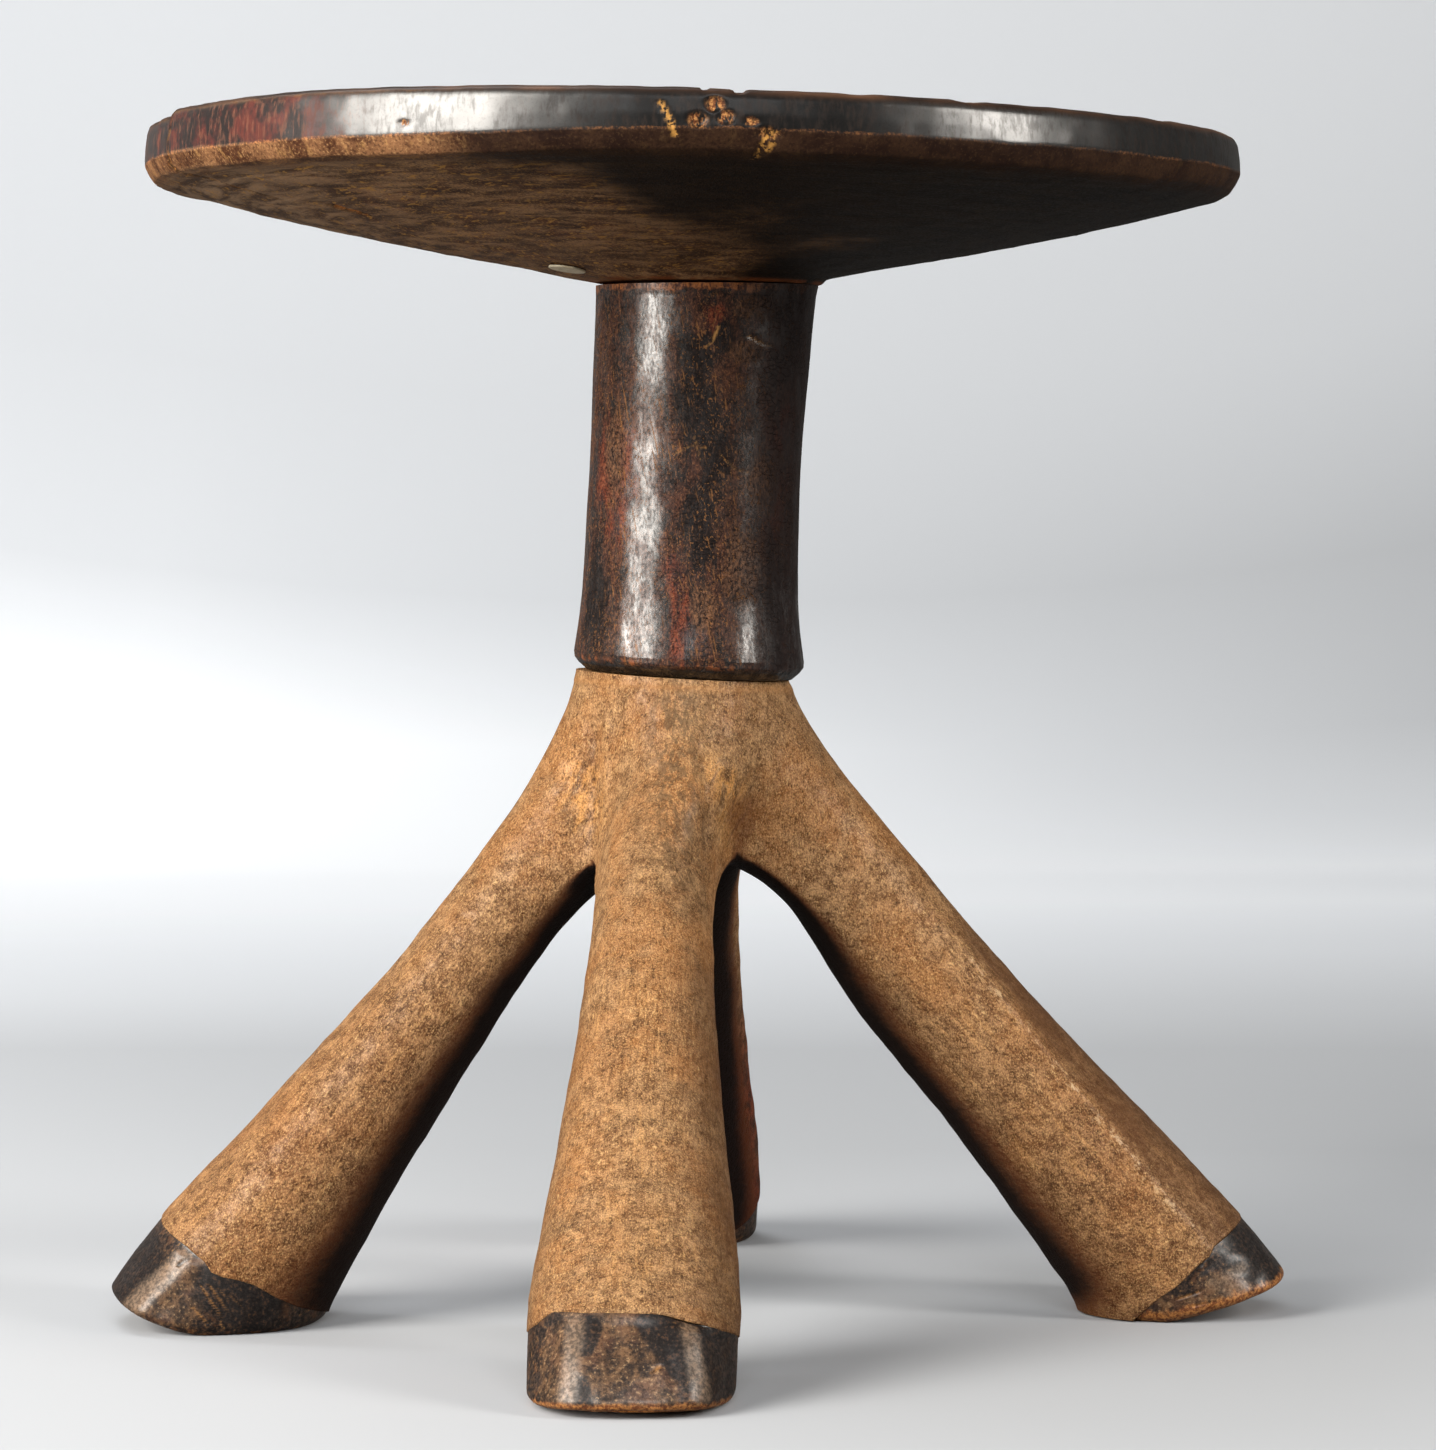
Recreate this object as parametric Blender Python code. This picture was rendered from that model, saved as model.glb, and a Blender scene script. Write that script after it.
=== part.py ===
"""A round stool on a waisted column and four splayed legs that end in hooves.

The real stool is carved from one block of wood. Each member that the carver
set off from its neighbours is a solid of its own here, and the wood that runs
on between two members is a narrow gap. Metres, +Z up, floor at zero height,
front of the stool towards -Y.
"""
import math

import bmesh
import bpy
from mathutils import Matrix, Vector

MM = 0.001

# Fits
SPLIT_GAP = 0.3 * MM

# The column stands this far to the left of the middle of the footprint
AXIS_OFFSET = 2.2 * MM

# Seat: a shallow carved dish on a low cone
SEAT_DIAMETER = 297.5 * MM
SEAT_HEIGHT = 324.6 * MM
SEAT_THICKNESS = 41.9 * MM
SEAT_DISH_DEPTH = 4.0 * MM
SEAT_LEAN = 2.4 * MM
SEAT_LEAN_AZIMUTH = math.radians(215)
SEAT_WAVE = 1.3 * MM
SEAT_WAVE_AZIMUTH = math.radians(240)
SEAT_FACETS = 64

# Column: waisted, with a rim that overhangs the neck of the legs
COLUMN_TOP_RADIUS = 30.4 * MM
COLUMN_WAIST_RADIUS = 28.9 * MM
COLUMN_FOOT_RADIUS = 31.5 * MM
COLUMN_RIM_HEIGHT = 3.6 * MM
COLUMN_RIM_OVERHANG = 3.3 * MM
COLUMN_TOP_SHIFT = 3.9 * MM
COLUMN_FOOT_SHIFT = -1.1 * MM
COLUMN_WANDER_POWER = 1.7
COLUMN_FACETS = 40

# Leg frame: the neck, the crown and four legs
FRAME_HEIGHT = 176.0 * MM
FRAME_TOP_TILT = math.radians(3.2)
CROWN_TOP_SHIFT = -3.2 * MM
CROWN_LEAN = math.radians(4.0)
LEG_REACH = 163.0 * MM
FOOT_LENGTH = 59.0 * MM
LEG_ROOT_WIDTH = 33.0 * MM
FOOT_WIDTH = 54.0 * MM
HOOF_HEIGHT = 27.0 * MM
TOE_LIFT = 8.5 * MM
TOE_LIFT_LENGTH = 26.0 * MM
FRAME_SUBDIVISIONS = 2

# Label: a thin round card under the seat
LABEL_DIAMETER = 10.0 * MM
LABEL_THICKNESS = 0.5 * MM
LABEL_FROM_AXIS = 42.0 * MM
LABEL_AZIMUTH = math.radians(217)
LABEL_FACETS = 32

# Sizes that follow from those above
SEAT_RADIUS = SEAT_DIAMETER / 2
SEAT_BOTTOM = SEAT_HEIGHT - SEAT_THICKNESS
NECK_RADIUS = COLUMN_FOOT_RADIUS - COLUMN_RIM_OVERHANG
COLUMN_BOTTOM = FRAME_HEIGHT + SPLIT_GAP
COLUMN_TOP = SEAT_BOTTOM - SPLIT_GAP
HEEL_REACH = LEG_REACH - FOOT_LENGTH

# Each leg: name, where its centre line passes the axis (shares of the neck's
# radius), the way it points, its shares of the reach, of the heel's reach and
# of the foot's width, how far its underside rises and how high the valley after
# it lies (shares of the frame's height), its toe's lift off the floor and that
# lift's length (shares of the lift), and how high the hoof's upper edge meets
# the shin and the heel (shares of the hoof's height)
LEGS = [
    {"name": "front", "root_shares": (-0.29, 0.0), "azimuth": -92.8, "reach_share": 0.995,
     "heel_share": 1.0, "width_share": 0.985, "rise_share": 0.0, "crotch_share": 0.735,
     "lift_share": 0.23, "lift_length_share": 1.0, "hoof_shares": (0.90, 0.26)},
    {"name": "right", "root_shares": (0.0, -0.04), "azimuth": 2.5, "reach_share": 1.013,
     "heel_share": 1.035, "width_share": 0.96, "rise_share": -0.052, "crotch_share": 0.75,
     "lift_share": 1.16, "lift_length_share": 1.44, "hoof_shares": (1.01, -0.69)},
    {"name": "back", "root_shares": (-0.02, 0.0), "azimuth": 92.0, "reach_share": 1.0,
     "heel_share": 1.12, "width_share": 0.90, "rise_share": 0.0, "crotch_share": 0.715,
     "lift_share": 0.62, "lift_length_share": 1.0, "hoof_shares": (0.98, 0.0)},
    {"name": "left", "root_shares": (0.0, -0.1), "azimuth": 185.0, "reach_share": 0.985,
     "heel_share": 0.98, "width_share": 1.0, "rise_share": 0.055, "crotch_share": 0.715,
     "lift_share": 1.0, "lift_length_share": 1.0, "hoof_shares": (1.08, 0.0)},
]

# Stations down a leg: reach and height of its outer line, reach and height of
# its inner line, its width, how square its outer corners are, and how much of
# its underside's rise is left (shares of leg reach, frame height, heel reach,
# frame height, foot width, the corner's distance and the rise)
STATION_SHARES = {
    "root": (0.417, 0.653, 0.384, 0.540, 0.600, 1.05, 1.00),
    "thigh": (0.552, 0.509, 0.594, 0.373, 0.712, 1.07, 0.50),
    "shin": (0.691, 0.369, 0.774, 0.216, 0.835, 1.09, 0.35),
    "ankle": (0.804, 0.259, 0.904, 0.091, 0.960, 1.11, 0.15),
    "coronet": (0.902, 0.162, 0.972, 0.031, 1.000, 1.13, 0.00),
    "hoof": (0.972, 0.085, 1.000, -0.017, 0.985, 1.15, 0.00),
    "toe": (1.018, 0.017, 1.028, -0.080, 0.960, 1.17, 0.00),
    "below": (1.049, -0.057, 1.058, -0.142, 0.930, 1.17, 0.00),
}

# Crown rings from the neck down: height, radius along a leg, radius between a
# leg and a valley, radius in a valley (shares of frame height and neck radius)
CROWN_SHARES = [
    (1.085, 1.00, 1.00, 1.00),
    (0.985, 1.03, 1.03, 1.02),
    (0.900, 1.39, 1.22, 1.07),
    (0.835, 1.67, 1.40, 1.02),
]

# The column's swelling above its rim and below the seat: height (share of the
# column above its rim), swelling (share of the swelling at that end)
COLUMN_FOOT_SHARES = [(0.04, 0.90), (0.09, 0.57), (0.17, 0.28), (0.30, 0.12), (0.46, 0.03)]
COLUMN_TOP_SHARES = [(0.60, 0.06), (0.74, 0.36), (0.88, 0.58), (0.97, 0.78), (1.00, 1.00)]

# Where a leg leaves the crown: reach, sideways place and height of its shin,
# its flanks and its underside (shares of leg reach, root width, frame height)
ROOT_SHIN_SHARES = (0.335, 0.0, 0.790)
ROOT_FLANK_SHARES = (0.270, 0.42, 0.765)
ROOT_UNDERSIDE_SHARES = (0.170, 0.0, 0.655)
ROOT_UNDERFLANK_SHARES = (0.150, 0.33, 0.685)
VAULT_HEIGHT_SHARE = 0.735

# A cage of eight points needs this growth for its smooth surface to pass
# through the section that it was drawn round
CAGE_SIZE_SHARE = 6 / (4 + 2 * math.cos(math.pi / 4))

# Seat section from the column out over the rim to the middle of the top:
# radius between the column's top and the rim, height (shares of the seat)
SEAT_SECTION_SHARES = [
    (0.060, 0.050), (0.122, 0.088), (0.227, 0.142), (0.374, 0.216), (0.514, 0.297),
    (0.643, 0.372), (0.758, 0.450), (0.840, 0.508), (0.915, 0.564), (0.974, 0.622),
    (0.991, 0.680), (1.000, 0.745), (0.998, 0.860), (0.992, 0.955), (0.980, 0.995),
    (0.950, 1.000),
]
DISH_SECTION_SHARES = [(0.90, 0.25), (0.80, 0.68), (0.66, 1.00)]

WOODS = {
    "dark_wood": ((0.045, 0.017, 0.009), 0.34),
    "seat_wood": ((0.070, 0.030, 0.014), 0.42),
    "shin_wood": ((0.235, 0.105, 0.042), 0.50),
    "hoof_wood": ((0.050, 0.027, 0.016), 0.38),
    "label_card": ((0.700, 0.640, 0.500), 0.60),
}


def clear_scene():
    for thing in list(bpy.data.objects):
        bpy.data.objects.remove(thing)


def make_materials():
    made = {}
    for name, (colour, roughness) in WOODS.items():
        material = bpy.data.materials.new(name)
        material.use_nodes = True
        shader = material.node_tree.nodes["Principled BSDF"]
        shader.inputs["Base Color"].default_value = (*colour, 1)
        shader.inputs["Roughness"].default_value = roughness
        shader.inputs["Metallic"].default_value = 0
        made[name] = material
    return made


def add_axis():
    """The empty on the column's axis that carries every piece."""
    axis = bpy.data.objects.new("stool", None)
    axis.location.x = -AXIS_OFFSET
    bpy.context.scene.collection.objects.link(axis)


def add_object(name, shape, material):
    """Turns a bmesh into a named object that the axis carries, with its faces outwards."""
    bmesh.ops.recalc_face_normals(shape, faces=shape.faces)
    mesh = bpy.data.meshes.new(name)
    shape.to_mesh(mesh)
    shape.free()
    mesh.shade_smooth()
    mesh.set_sharp_from_angle(angle=math.radians(40))
    mesh.materials.clear()
    mesh.materials.append(material)
    made = bpy.data.objects.new(name, mesh)
    made.parent = bpy.data.objects["stool"]
    bpy.context.scene.collection.objects.link(made)
    return made


def loft(rings):
    """Skins a stack of closed rings of points and caps both ends."""
    shape = bmesh.new()
    rows = [[shape.verts.new(point) for point in ring] for ring in rings]
    count = len(rows[0])
    for lower, upper in zip(rows, rows[1:]):
        for i in range(count):
            j = (i + 1) % count
            shape.faces.new((lower[i], lower[j], upper[j], upper[i]))
    shape.faces.new(list(reversed(rows[0])))
    shape.faces.new(rows[-1])
    return shape


def circle(centre, radius, facets):
    turns = [2 * math.pi * i / facets for i in range(facets)]
    return [centre + radius * Vector((math.cos(a), math.sin(a), 0)) for a in turns]


def cut_away(shape, faces, point, normal):
    """Cuts the given faces by a plane, drops the side its normal points to, and caps the cut."""
    edges = {edge for face in faces for edge in face.edges}
    verts = {vert for face in faces for vert in face.verts}
    open_before = {edge for edge in shape.edges if edge.is_boundary}
    bmesh.ops.bisect_plane(
        shape, geom=[*verts, *edges, *faces], plane_co=point, plane_no=normal,
        clear_outer=True)
    rim = [edge for edge in shape.edges if edge.is_boundary and edge not in open_before]
    bmesh.ops.contextual_create(shape, geom=rim)


# Seat

def seat_wobble(angle, radius):
    """How far the hand-cut seat stands above its mean height at this place."""
    lean = SEAT_LEAN * math.cos(angle - SEAT_LEAN_AZIMUTH)
    wave = SEAT_WAVE * math.cos(2 * (angle - SEAT_WAVE_AZIMUTH))
    share = radius / SEAT_RADIUS
    return (lean + wave * share) * share


def seat_ring(radius, height):
    ring = circle(Vector((0, 0, height)), radius, SEAT_FACETS)
    for i, point in enumerate(ring):
        point.z += seat_wobble(2 * math.pi * i / SEAT_FACETS, radius)
    return ring


def seat_section():
    """Radius and height of the seat's section, from the column round to the dish."""
    spread = SEAT_RADIUS - COLUMN_TOP_RADIUS
    section = [
        (COLUMN_TOP_RADIUS + spread * out, SEAT_BOTTOM + SEAT_THICKNESS * up)
        for out, up in SEAT_SECTION_SHARES]
    section += [
        (SEAT_RADIUS * out, SEAT_HEIGHT - SEAT_DISH_DEPTH * down)
        for out, down in DISH_SECTION_SHARES]
    return section


def add_seat(material):
    seat_foot = circle(
        Vector((COLUMN_TOP_SHIFT, 0, SEAT_BOTTOM)), COLUMN_TOP_RADIUS, SEAT_FACETS)
    rings = [seat_foot] + [seat_ring(radius, height) for radius, height in seat_section()]
    for point in rings[-1]:
        point.z = SEAT_HEIGHT - SEAT_DISH_DEPTH
    return add_object("seat", loft(rings), material)


def add_label(material):
    """The card lies just under the cone, square to the cone's slope there."""
    section = seat_section()
    inner, outer = next(
        pair for pair in zip(section, section[1:]) if pair[1][0] >= LABEL_FROM_AXIS)
    slope = (outer[1] - inner[1]) / (outer[0] - inner[0])
    height = inner[1] + slope * (LABEL_FROM_AXIS - inner[0])
    height += seat_wobble(LABEL_AZIMUTH, LABEL_FROM_AXIS)
    out = Vector((math.cos(LABEL_AZIMUTH), math.sin(LABEL_AZIMUTH), 0))
    away = (slope * out - Vector((0, 0, 1))).normalized()
    place = LABEL_FROM_AXIS * out + Vector((0, 0, height))
    turn = away.to_track_quat("Z", "Y").to_matrix().to_4x4()
    rings = [
        circle(Vector((0, 0, off)), LABEL_DIAMETER / 2, LABEL_FACETS)
        for off in (SPLIT_GAP, SPLIT_GAP + LABEL_THICKNESS)]
    label = add_object("label_disc", loft(rings), material)
    label.matrix_local = Matrix.Translation(place) @ turn


# Column

def column_section():
    """Share of the column's height and radius there, from its foot up."""
    above = COLUMN_TOP_RADIUS - COLUMN_WAIST_RADIUS
    below = COLUMN_FOOT_RADIUS - COLUMN_WAIST_RADIUS
    rim = COLUMN_RIM_HEIGHT / (COLUMN_TOP - COLUMN_BOTTOM)
    section = [(0, NECK_RADIUS), (rim, COLUMN_FOOT_RADIUS)]
    section += [
        (rim + (1 - rim) * up, COLUMN_WAIST_RADIUS + below * swell)
        for up, swell in COLUMN_FOOT_SHARES]
    section += [
        (rim + (1 - rim) * up, COLUMN_WAIST_RADIUS + above * swell)
        for up, swell in COLUMN_TOP_SHARES]
    return section


def add_column(material):
    rings = []
    rise = COLUMN_TOP - COLUMN_BOTTOM
    for up, radius in column_section():
        wander = up ** COLUMN_WANDER_POWER
        shift = COLUMN_FOOT_SHIFT + wander * (COLUMN_TOP_SHIFT - COLUMN_FOOT_SHIFT)
        ring = circle(Vector((shift, 0, COLUMN_BOTTOM + up * rise)), radius, COLUMN_FACETS)
        for point in ring:
            point.z -= (1 - up) * (point.x - shift) * math.tan(FRAME_TOP_TILT)
        rings.append(ring)
    return add_object("column", loft(rings), material)


# Leg frame

def leg_root(leg):
    across, along = leg["root_shares"]
    return Vector((NECK_RADIUS * across, NECK_RADIUS * along, 0))


def leg_axes(leg):
    """The way the leg points over the floor, and the way across it."""
    turn = math.radians(leg["azimuth"])
    out = Vector((math.cos(turn), math.sin(turn), 0))
    return out, Vector((-out.y, out.x, 0))


def leg_point(leg, reach, across, height):
    out, side = leg_axes(leg)
    return leg_root(leg) + out * reach + side * across + Vector((0, 0, height))


def crotch(leg, following):
    """The valley between two legs, where their near flanks would cross."""
    out_a, side_a = leg_axes(leg)
    out_b, side_b = leg_axes(following)
    start_a = leg_root(leg) + side_a * LEG_ROOT_WIDTH / 2
    start_b = leg_root(following) - side_b * LEG_ROOT_WIDTH / 2
    apart = start_b - start_a
    along = (apart.x * out_b.y - apart.y * out_b.x) / (out_a.x * out_b.y - out_a.y * out_b.x)
    place = start_a + out_a * along
    place.z = FRAME_HEIGHT * leg["crotch_share"]
    return place


def root_point(leg, shares, hand=1):
    reach, across, height = shares
    return leg_point(
        leg, LEG_REACH * reach, hand * LEG_ROOT_WIDTH * across, FRAME_HEIGHT * height)


def shin_point(leg, station):
    """A point on the leg's outer line, at this station."""
    reach, height = STATION_SHARES[station][0:2]
    return leg_point(leg, LEG_REACH * leg["reach_share"] * reach, 0, FRAME_HEIGHT * height)


def underside_point(leg, station):
    """A point on the leg's inner line, at this station."""
    reach, height = STATION_SHARES[station][2:4]
    height += leg["rise_share"] * STATION_SHARES[station][6]
    return leg_point(leg, HEEL_REACH * leg["heel_share"] * reach, 0, FRAME_HEIGHT * height)


def station_ring(leg, station):
    """Eight cage points round the leg, from the shin by one side to the underside and back."""
    width, corner = STATION_SHARES[station][4:6]
    shin = shin_point(leg, station)
    underside = underside_point(leg, station)
    middle = (shin + underside) / 2
    depth = (shin - underside) / 2 * CAGE_SIZE_SHARE
    breadth = FOOT_WIDTH * leg["width_share"] * width / 2 * CAGE_SIZE_SHARE
    across = leg_axes(leg)[1] * breadth
    ring = []
    for i in range(8):
        turn = i * math.pi / 4
        spread = corner if i in (1, 7) else 1
        ring.append(middle + (depth * math.cos(turn) + across * math.sin(turn)) * spread)
    return ring


def crown_ring(shares):
    """Sixteen cage points round the neck: a leg, a slope, a valley and a slope, four times."""
    height, along_leg, on_slope, in_valley = shares
    below = FRAME_HEIGHT * (1 - height)
    shift = CROWN_TOP_SHIFT + below * math.tan(CROWN_LEAN)
    centre = Vector((shift, 0, FRAME_HEIGHT * height))
    points = []
    for i, leg in enumerate(LEGS):
        start = math.radians(leg["azimuth"])
        turn_to_next = (math.radians(LEGS[(i + 1) % 4]["azimuth"]) - start) % (2 * math.pi)
        step = turn_to_next / 4
        for j, radius in enumerate((along_leg, on_slope, in_valley, on_slope)):
            turn = start + j * step
            out = Vector((math.cos(turn), math.sin(turn), 0))
            points.append(centre + out * NECK_RADIUS * radius)
    return points


def root_rings():
    """The ring where the crown ends and the legs begin, and each leg's three points under it."""
    crotches = [crotch(leg, LEGS[(i + 1) % 4]) for i, leg in enumerate(LEGS)]
    ring = []
    undersides = []
    for i, leg in enumerate(LEGS):
        following = LEGS[(i + 1) % 4]
        ring += [
            root_point(leg, ROOT_SHIN_SHARES),
            root_point(leg, ROOT_FLANK_SHARES),
            crotches[i],
            root_point(following, ROOT_FLANK_SHARES, -1)]
        undersides.append([
            root_point(leg, ROOT_UNDERFLANK_SHARES),
            root_point(leg, ROOT_UNDERSIDE_SHARES),
            root_point(leg, ROOT_UNDERFLANK_SHARES, -1)])
    return ring, undersides


def frame_cage():
    """The cage of the whole leg frame. Faces of leg i are marked i + 1, and the crown's 0."""
    shape = bmesh.new()
    ring, undersides = root_rings()
    rows = [[shape.verts.new(point) for point in crown_ring(shares)] for shares in CROWN_SHARES]
    rows.append([shape.verts.new(point) for point in ring])
    for upper, lower in zip(rows, rows[1:]):
        for i in range(16):
            j = (i + 1) % 16
            shape.faces.new((upper[i], upper[j], lower[j], lower[i]))
    shape.faces.new(rows[0])
    edge = rows[-1]
    valleys = edge[2::4]
    middle = sum((valley.co for valley in valleys), Vector()) / len(valleys)
    middle.z = FRAME_HEIGHT * VAULT_HEIGHT_SHARE
    vault = shape.verts.new(middle)
    for i, leg in enumerate(LEGS):
        start = i * len(edge) // len(LEGS)
        near, under, far = (shape.verts.new(point) for point in undersides[i])
        before = valleys[i - 1]
        after = valleys[i]
        shape.faces.new((vault, under, near, after))
        shape.faces.new((vault, before, far, under))
        loop = [edge[start], edge[start + 1], after, near, under, far, before, edge[start - 1]]
        for station in STATION_SHARES:
            following = [shape.verts.new(point) for point in station_ring(leg, station)]
            for j in range(8):
                k = (j + 1) % 8
                face = shape.faces.new((loop[j], loop[k], following[k], following[j]))
                face.material_index = i + 1
            loop = following
        cap = shape.faces.new(loop)
        cap.material_index = i + 1
    bmesh.ops.recalc_face_normals(shape, faces=shape.faces)
    return shape


def smooth_frame():
    """The cage with its subdivision applied, as a mesh whose faces keep their marks."""
    shape = frame_cage()
    mesh = bpy.data.meshes.new("frame_cage")
    shape.to_mesh(mesh)
    shape.free()
    guide = bpy.data.objects.new("frame_guide", mesh)
    bpy.context.scene.collection.objects.link(guide)
    guide.hide_render = True
    guide.display_type = "WIRE"
    rounding = guide.modifiers.new("rounding", "SUBSURF")
    rounding.levels = FRAME_SUBDIVISIONS
    rounding.render_levels = FRAME_SUBDIVISIONS
    bpy.context.view_layer.update()
    return bpy.data.meshes.new_from_object(
        guide.evaluated_get(bpy.context.evaluated_depsgraph_get()))


def split_plane(leg):
    """The plane that parts a leg from the crown: a point on it, and the way down the leg."""
    shin = shin_point(leg, "root")
    underside = underside_point(leg, "root")
    normal = leg_axes(leg)[1].cross(shin - underside)
    return (shin + underside) / 2, normal.normalized()


def hoof_plane(leg):
    """The plane of the hoof's upper edge: a point on the shin, and the way down to the toe."""
    shin_share, heel_share = leg["hoof_shares"]
    front = shin_point(leg, "coronet")
    heel = underside_point(leg, "coronet")
    front.z = HOOF_HEIGHT * shin_share
    heel.z = HOOF_HEIGHT * heel_share
    normal = leg_axes(leg)[1].cross(front - heel)
    return front, normal.normalized()


def toe_plane(leg):
    """The plane of the lifted part of the sole: where it leaves the floor, and the way down."""
    tip = leg_point(leg, LEG_REACH * leg["reach_share"], 0, TOE_LIFT * leg["lift_share"])
    out, side = leg_axes(leg)
    start = tip - out * TOE_LIFT_LENGTH * leg["lift_length_share"]
    start.z = 0
    return start, side.cross(tip - start).normalized()


def keep_faces(shape, mark):
    others = [face for face in shape.faces if face.material_index != mark]
    bmesh.ops.delete(shape, geom=others, context="FACES")


def cut_sole(shape, leg):
    cut_away(shape, shape.faces[:], Vector(), Vector((0, 0, -1)))
    start, normal = toe_plane(leg)
    cut_away(shape, shape.faces[:], start, normal)


def add_crown(smooth, material):
    shape = bmesh.new()
    shape.from_mesh(smooth)
    for i, leg in enumerate(LEGS):
        point, normal = split_plane(leg)
        faces = [face for face in shape.faces if face.material_index == i + 1]
        cut_away(shape, faces, point, normal)
    faces = [face for face in shape.faces if face.material_index == 0]
    top = Vector((COLUMN_FOOT_SHIFT, 0, FRAME_HEIGHT))
    upward = Vector((math.sin(FRAME_TOP_TILT), 0, math.cos(FRAME_TOP_TILT)))
    cut_away(shape, faces, top, upward)
    return add_object("crown", shape, material)


def add_leg(smooth, i, leg, material):
    shape = bmesh.new()
    shape.from_mesh(smooth)
    keep_faces(shape, i + 1)
    point, normal = split_plane(leg)
    cut_away(shape, shape.faces[:], point + normal * SPLIT_GAP, -normal)
    point, normal = hoof_plane(leg)
    cut_away(shape, shape.faces[:], point, normal)
    cut_sole(shape, leg)
    return add_object(leg["name"] + "_leg", shape, material)


def add_hoof(smooth, i, leg, material):
    shape = bmesh.new()
    shape.from_mesh(smooth)
    keep_faces(shape, i + 1)
    point, normal = hoof_plane(leg)
    cut_away(shape, shape.faces[:], point + normal * SPLIT_GAP, -normal)
    cut_sole(shape, leg)
    return add_object(leg["name"] + "_hoof", shape, material)


def main():
    clear_scene()
    materials = make_materials()
    add_axis()
    add_seat(materials["seat_wood"])
    add_label(materials["label_card"])
    add_column(materials["dark_wood"])
    smooth = smooth_frame()
    add_crown(smooth, materials["shin_wood"])
    for i, leg in enumerate(LEGS):
        add_leg(smooth, i, leg, materials["shin_wood"])
        add_hoof(smooth, i, leg, materials["hoof_wood"])
    bpy.data.meshes.remove(smooth)


main()
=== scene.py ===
import collections
import itertools

import bmesh
import bpy
import numpy as np
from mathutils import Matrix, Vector


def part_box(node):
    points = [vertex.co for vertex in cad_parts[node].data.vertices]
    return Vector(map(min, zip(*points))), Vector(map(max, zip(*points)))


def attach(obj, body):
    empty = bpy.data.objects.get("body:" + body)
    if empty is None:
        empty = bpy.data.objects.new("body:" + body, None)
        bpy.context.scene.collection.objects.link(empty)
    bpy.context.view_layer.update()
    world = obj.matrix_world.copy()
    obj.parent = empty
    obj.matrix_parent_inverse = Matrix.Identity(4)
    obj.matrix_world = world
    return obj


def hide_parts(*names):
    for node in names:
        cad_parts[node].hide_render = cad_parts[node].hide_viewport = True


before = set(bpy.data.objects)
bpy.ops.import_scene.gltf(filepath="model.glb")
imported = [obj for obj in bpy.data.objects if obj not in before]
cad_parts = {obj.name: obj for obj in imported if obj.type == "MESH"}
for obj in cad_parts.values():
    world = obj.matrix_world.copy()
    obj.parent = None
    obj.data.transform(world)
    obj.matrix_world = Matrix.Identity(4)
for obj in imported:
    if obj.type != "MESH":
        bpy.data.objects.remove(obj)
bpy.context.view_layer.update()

# Seat
# The real seat is the top of one carved block: a shallow dish on a low cone, with a chamfered rim.
# Hands have polished the rim nearly black; the underside keeps the adze's flecks, and the edge has
# split on the left and lost chips at the front.

MM = 0.001
AXIS_PLACE = np.array((-2.2, 0.0, 0.0)) * MM


def soft_noise(points, cell, seed):
    """Each corner of a lattice of cells hashes to a value from -1 to 1; a point takes the mean of
    its cell's eight corners, weighted by smoothed nearness."""
    place = points / cell + 11.7 * seed
    corner = np.floor(place)
    share = place - corner
    share = share * share * (3 - 2 * share)
    corner = corner.astype(np.int64)
    total = np.zeros(points.shape[:-1])
    for step in itertools.product((0, 1), repeat=3):
        weight = np.prod(np.where(step, share, 1 - share), axis=-1)
        total += weight * (2 * hashed(corner + step, seed) - 1)
    return total


def hashed(corner, seed):
    """Mixes three whole numbers and a seed by multiplying and shifting, to a share from 0 to 1."""
    key = corner[..., 0] * 73856093 ^ corner[..., 1] * 19349663 ^ corner[..., 2] * 83492791
    key = (key ^ seed * 40503) & 0x7FFFFFFF
    key = (key * 1274126177) & 0x7FFFFFFF
    key = ((key ^ (key >> 15)) * 1103515245) & 0x7FFFFFFF
    return ((key >> 8) & 0xFFFF) / 65535


def tool_cuts(points, cell, seed):
    """Squared distance, in cells, to the nearest of the points scattered one to a cell: shallow
    hollows that meet in soft ridges, as a blade leaves them."""
    place = points / cell
    corner = np.floor(place).astype(np.int64)
    nearest = np.full(points.shape[:-1], 9.0)
    for step in itertools.product((-1, 0, 1), repeat=3):
        near = corner + step
        offsets = [near[..., i] + hashed(near, seed + 7 * i) - place[..., i] for i in range(3)]
        nearest = np.minimum(nearest, sum(offset ** 2 for offset in offsets))
    return nearest


def smooth_step(value, low, high):
    """Nothing below the low value, 1 above the high one, and a cubic ease between them."""
    share = np.clip((value - low) / (high - low), 0, 1)
    return share * share * (3 - 2 * share)


def line_distance(points, start, end):
    """Distance from each point to the straight line between two points."""
    start, end = np.array(start, float), np.array(end, float)
    along = end - start
    share = np.clip((points - start) @ along / (along @ along), 0, 1)
    return np.linalg.norm(points - start - share[..., None] * along, axis=-1)


def path_distance(points, path):
    """Distance from each point to the nearest of the straight lines that join a path's places."""
    return np.min([line_distance(points, a, b) for a, b in zip(path, path[1:])], axis=0)


def turn_from(angle, azimuth):
    """Angle from an azimuth in degrees, brought to within half a turn either way."""
    return np.angle(np.exp(1j * (angle - np.radians(azimuth))))


def surface_normals(grid):
    """Cross product of the grid's differences along its rows and round its closed rings."""
    down = np.gradient(grid, axis=0)
    across = np.roll(grid, -1, axis=1) - np.roll(grid, 1, axis=1)
    normals = np.cross(across, down)
    return normals / np.maximum(np.linalg.norm(normals, axis=-1, keepdims=True), 1e-12)


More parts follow.
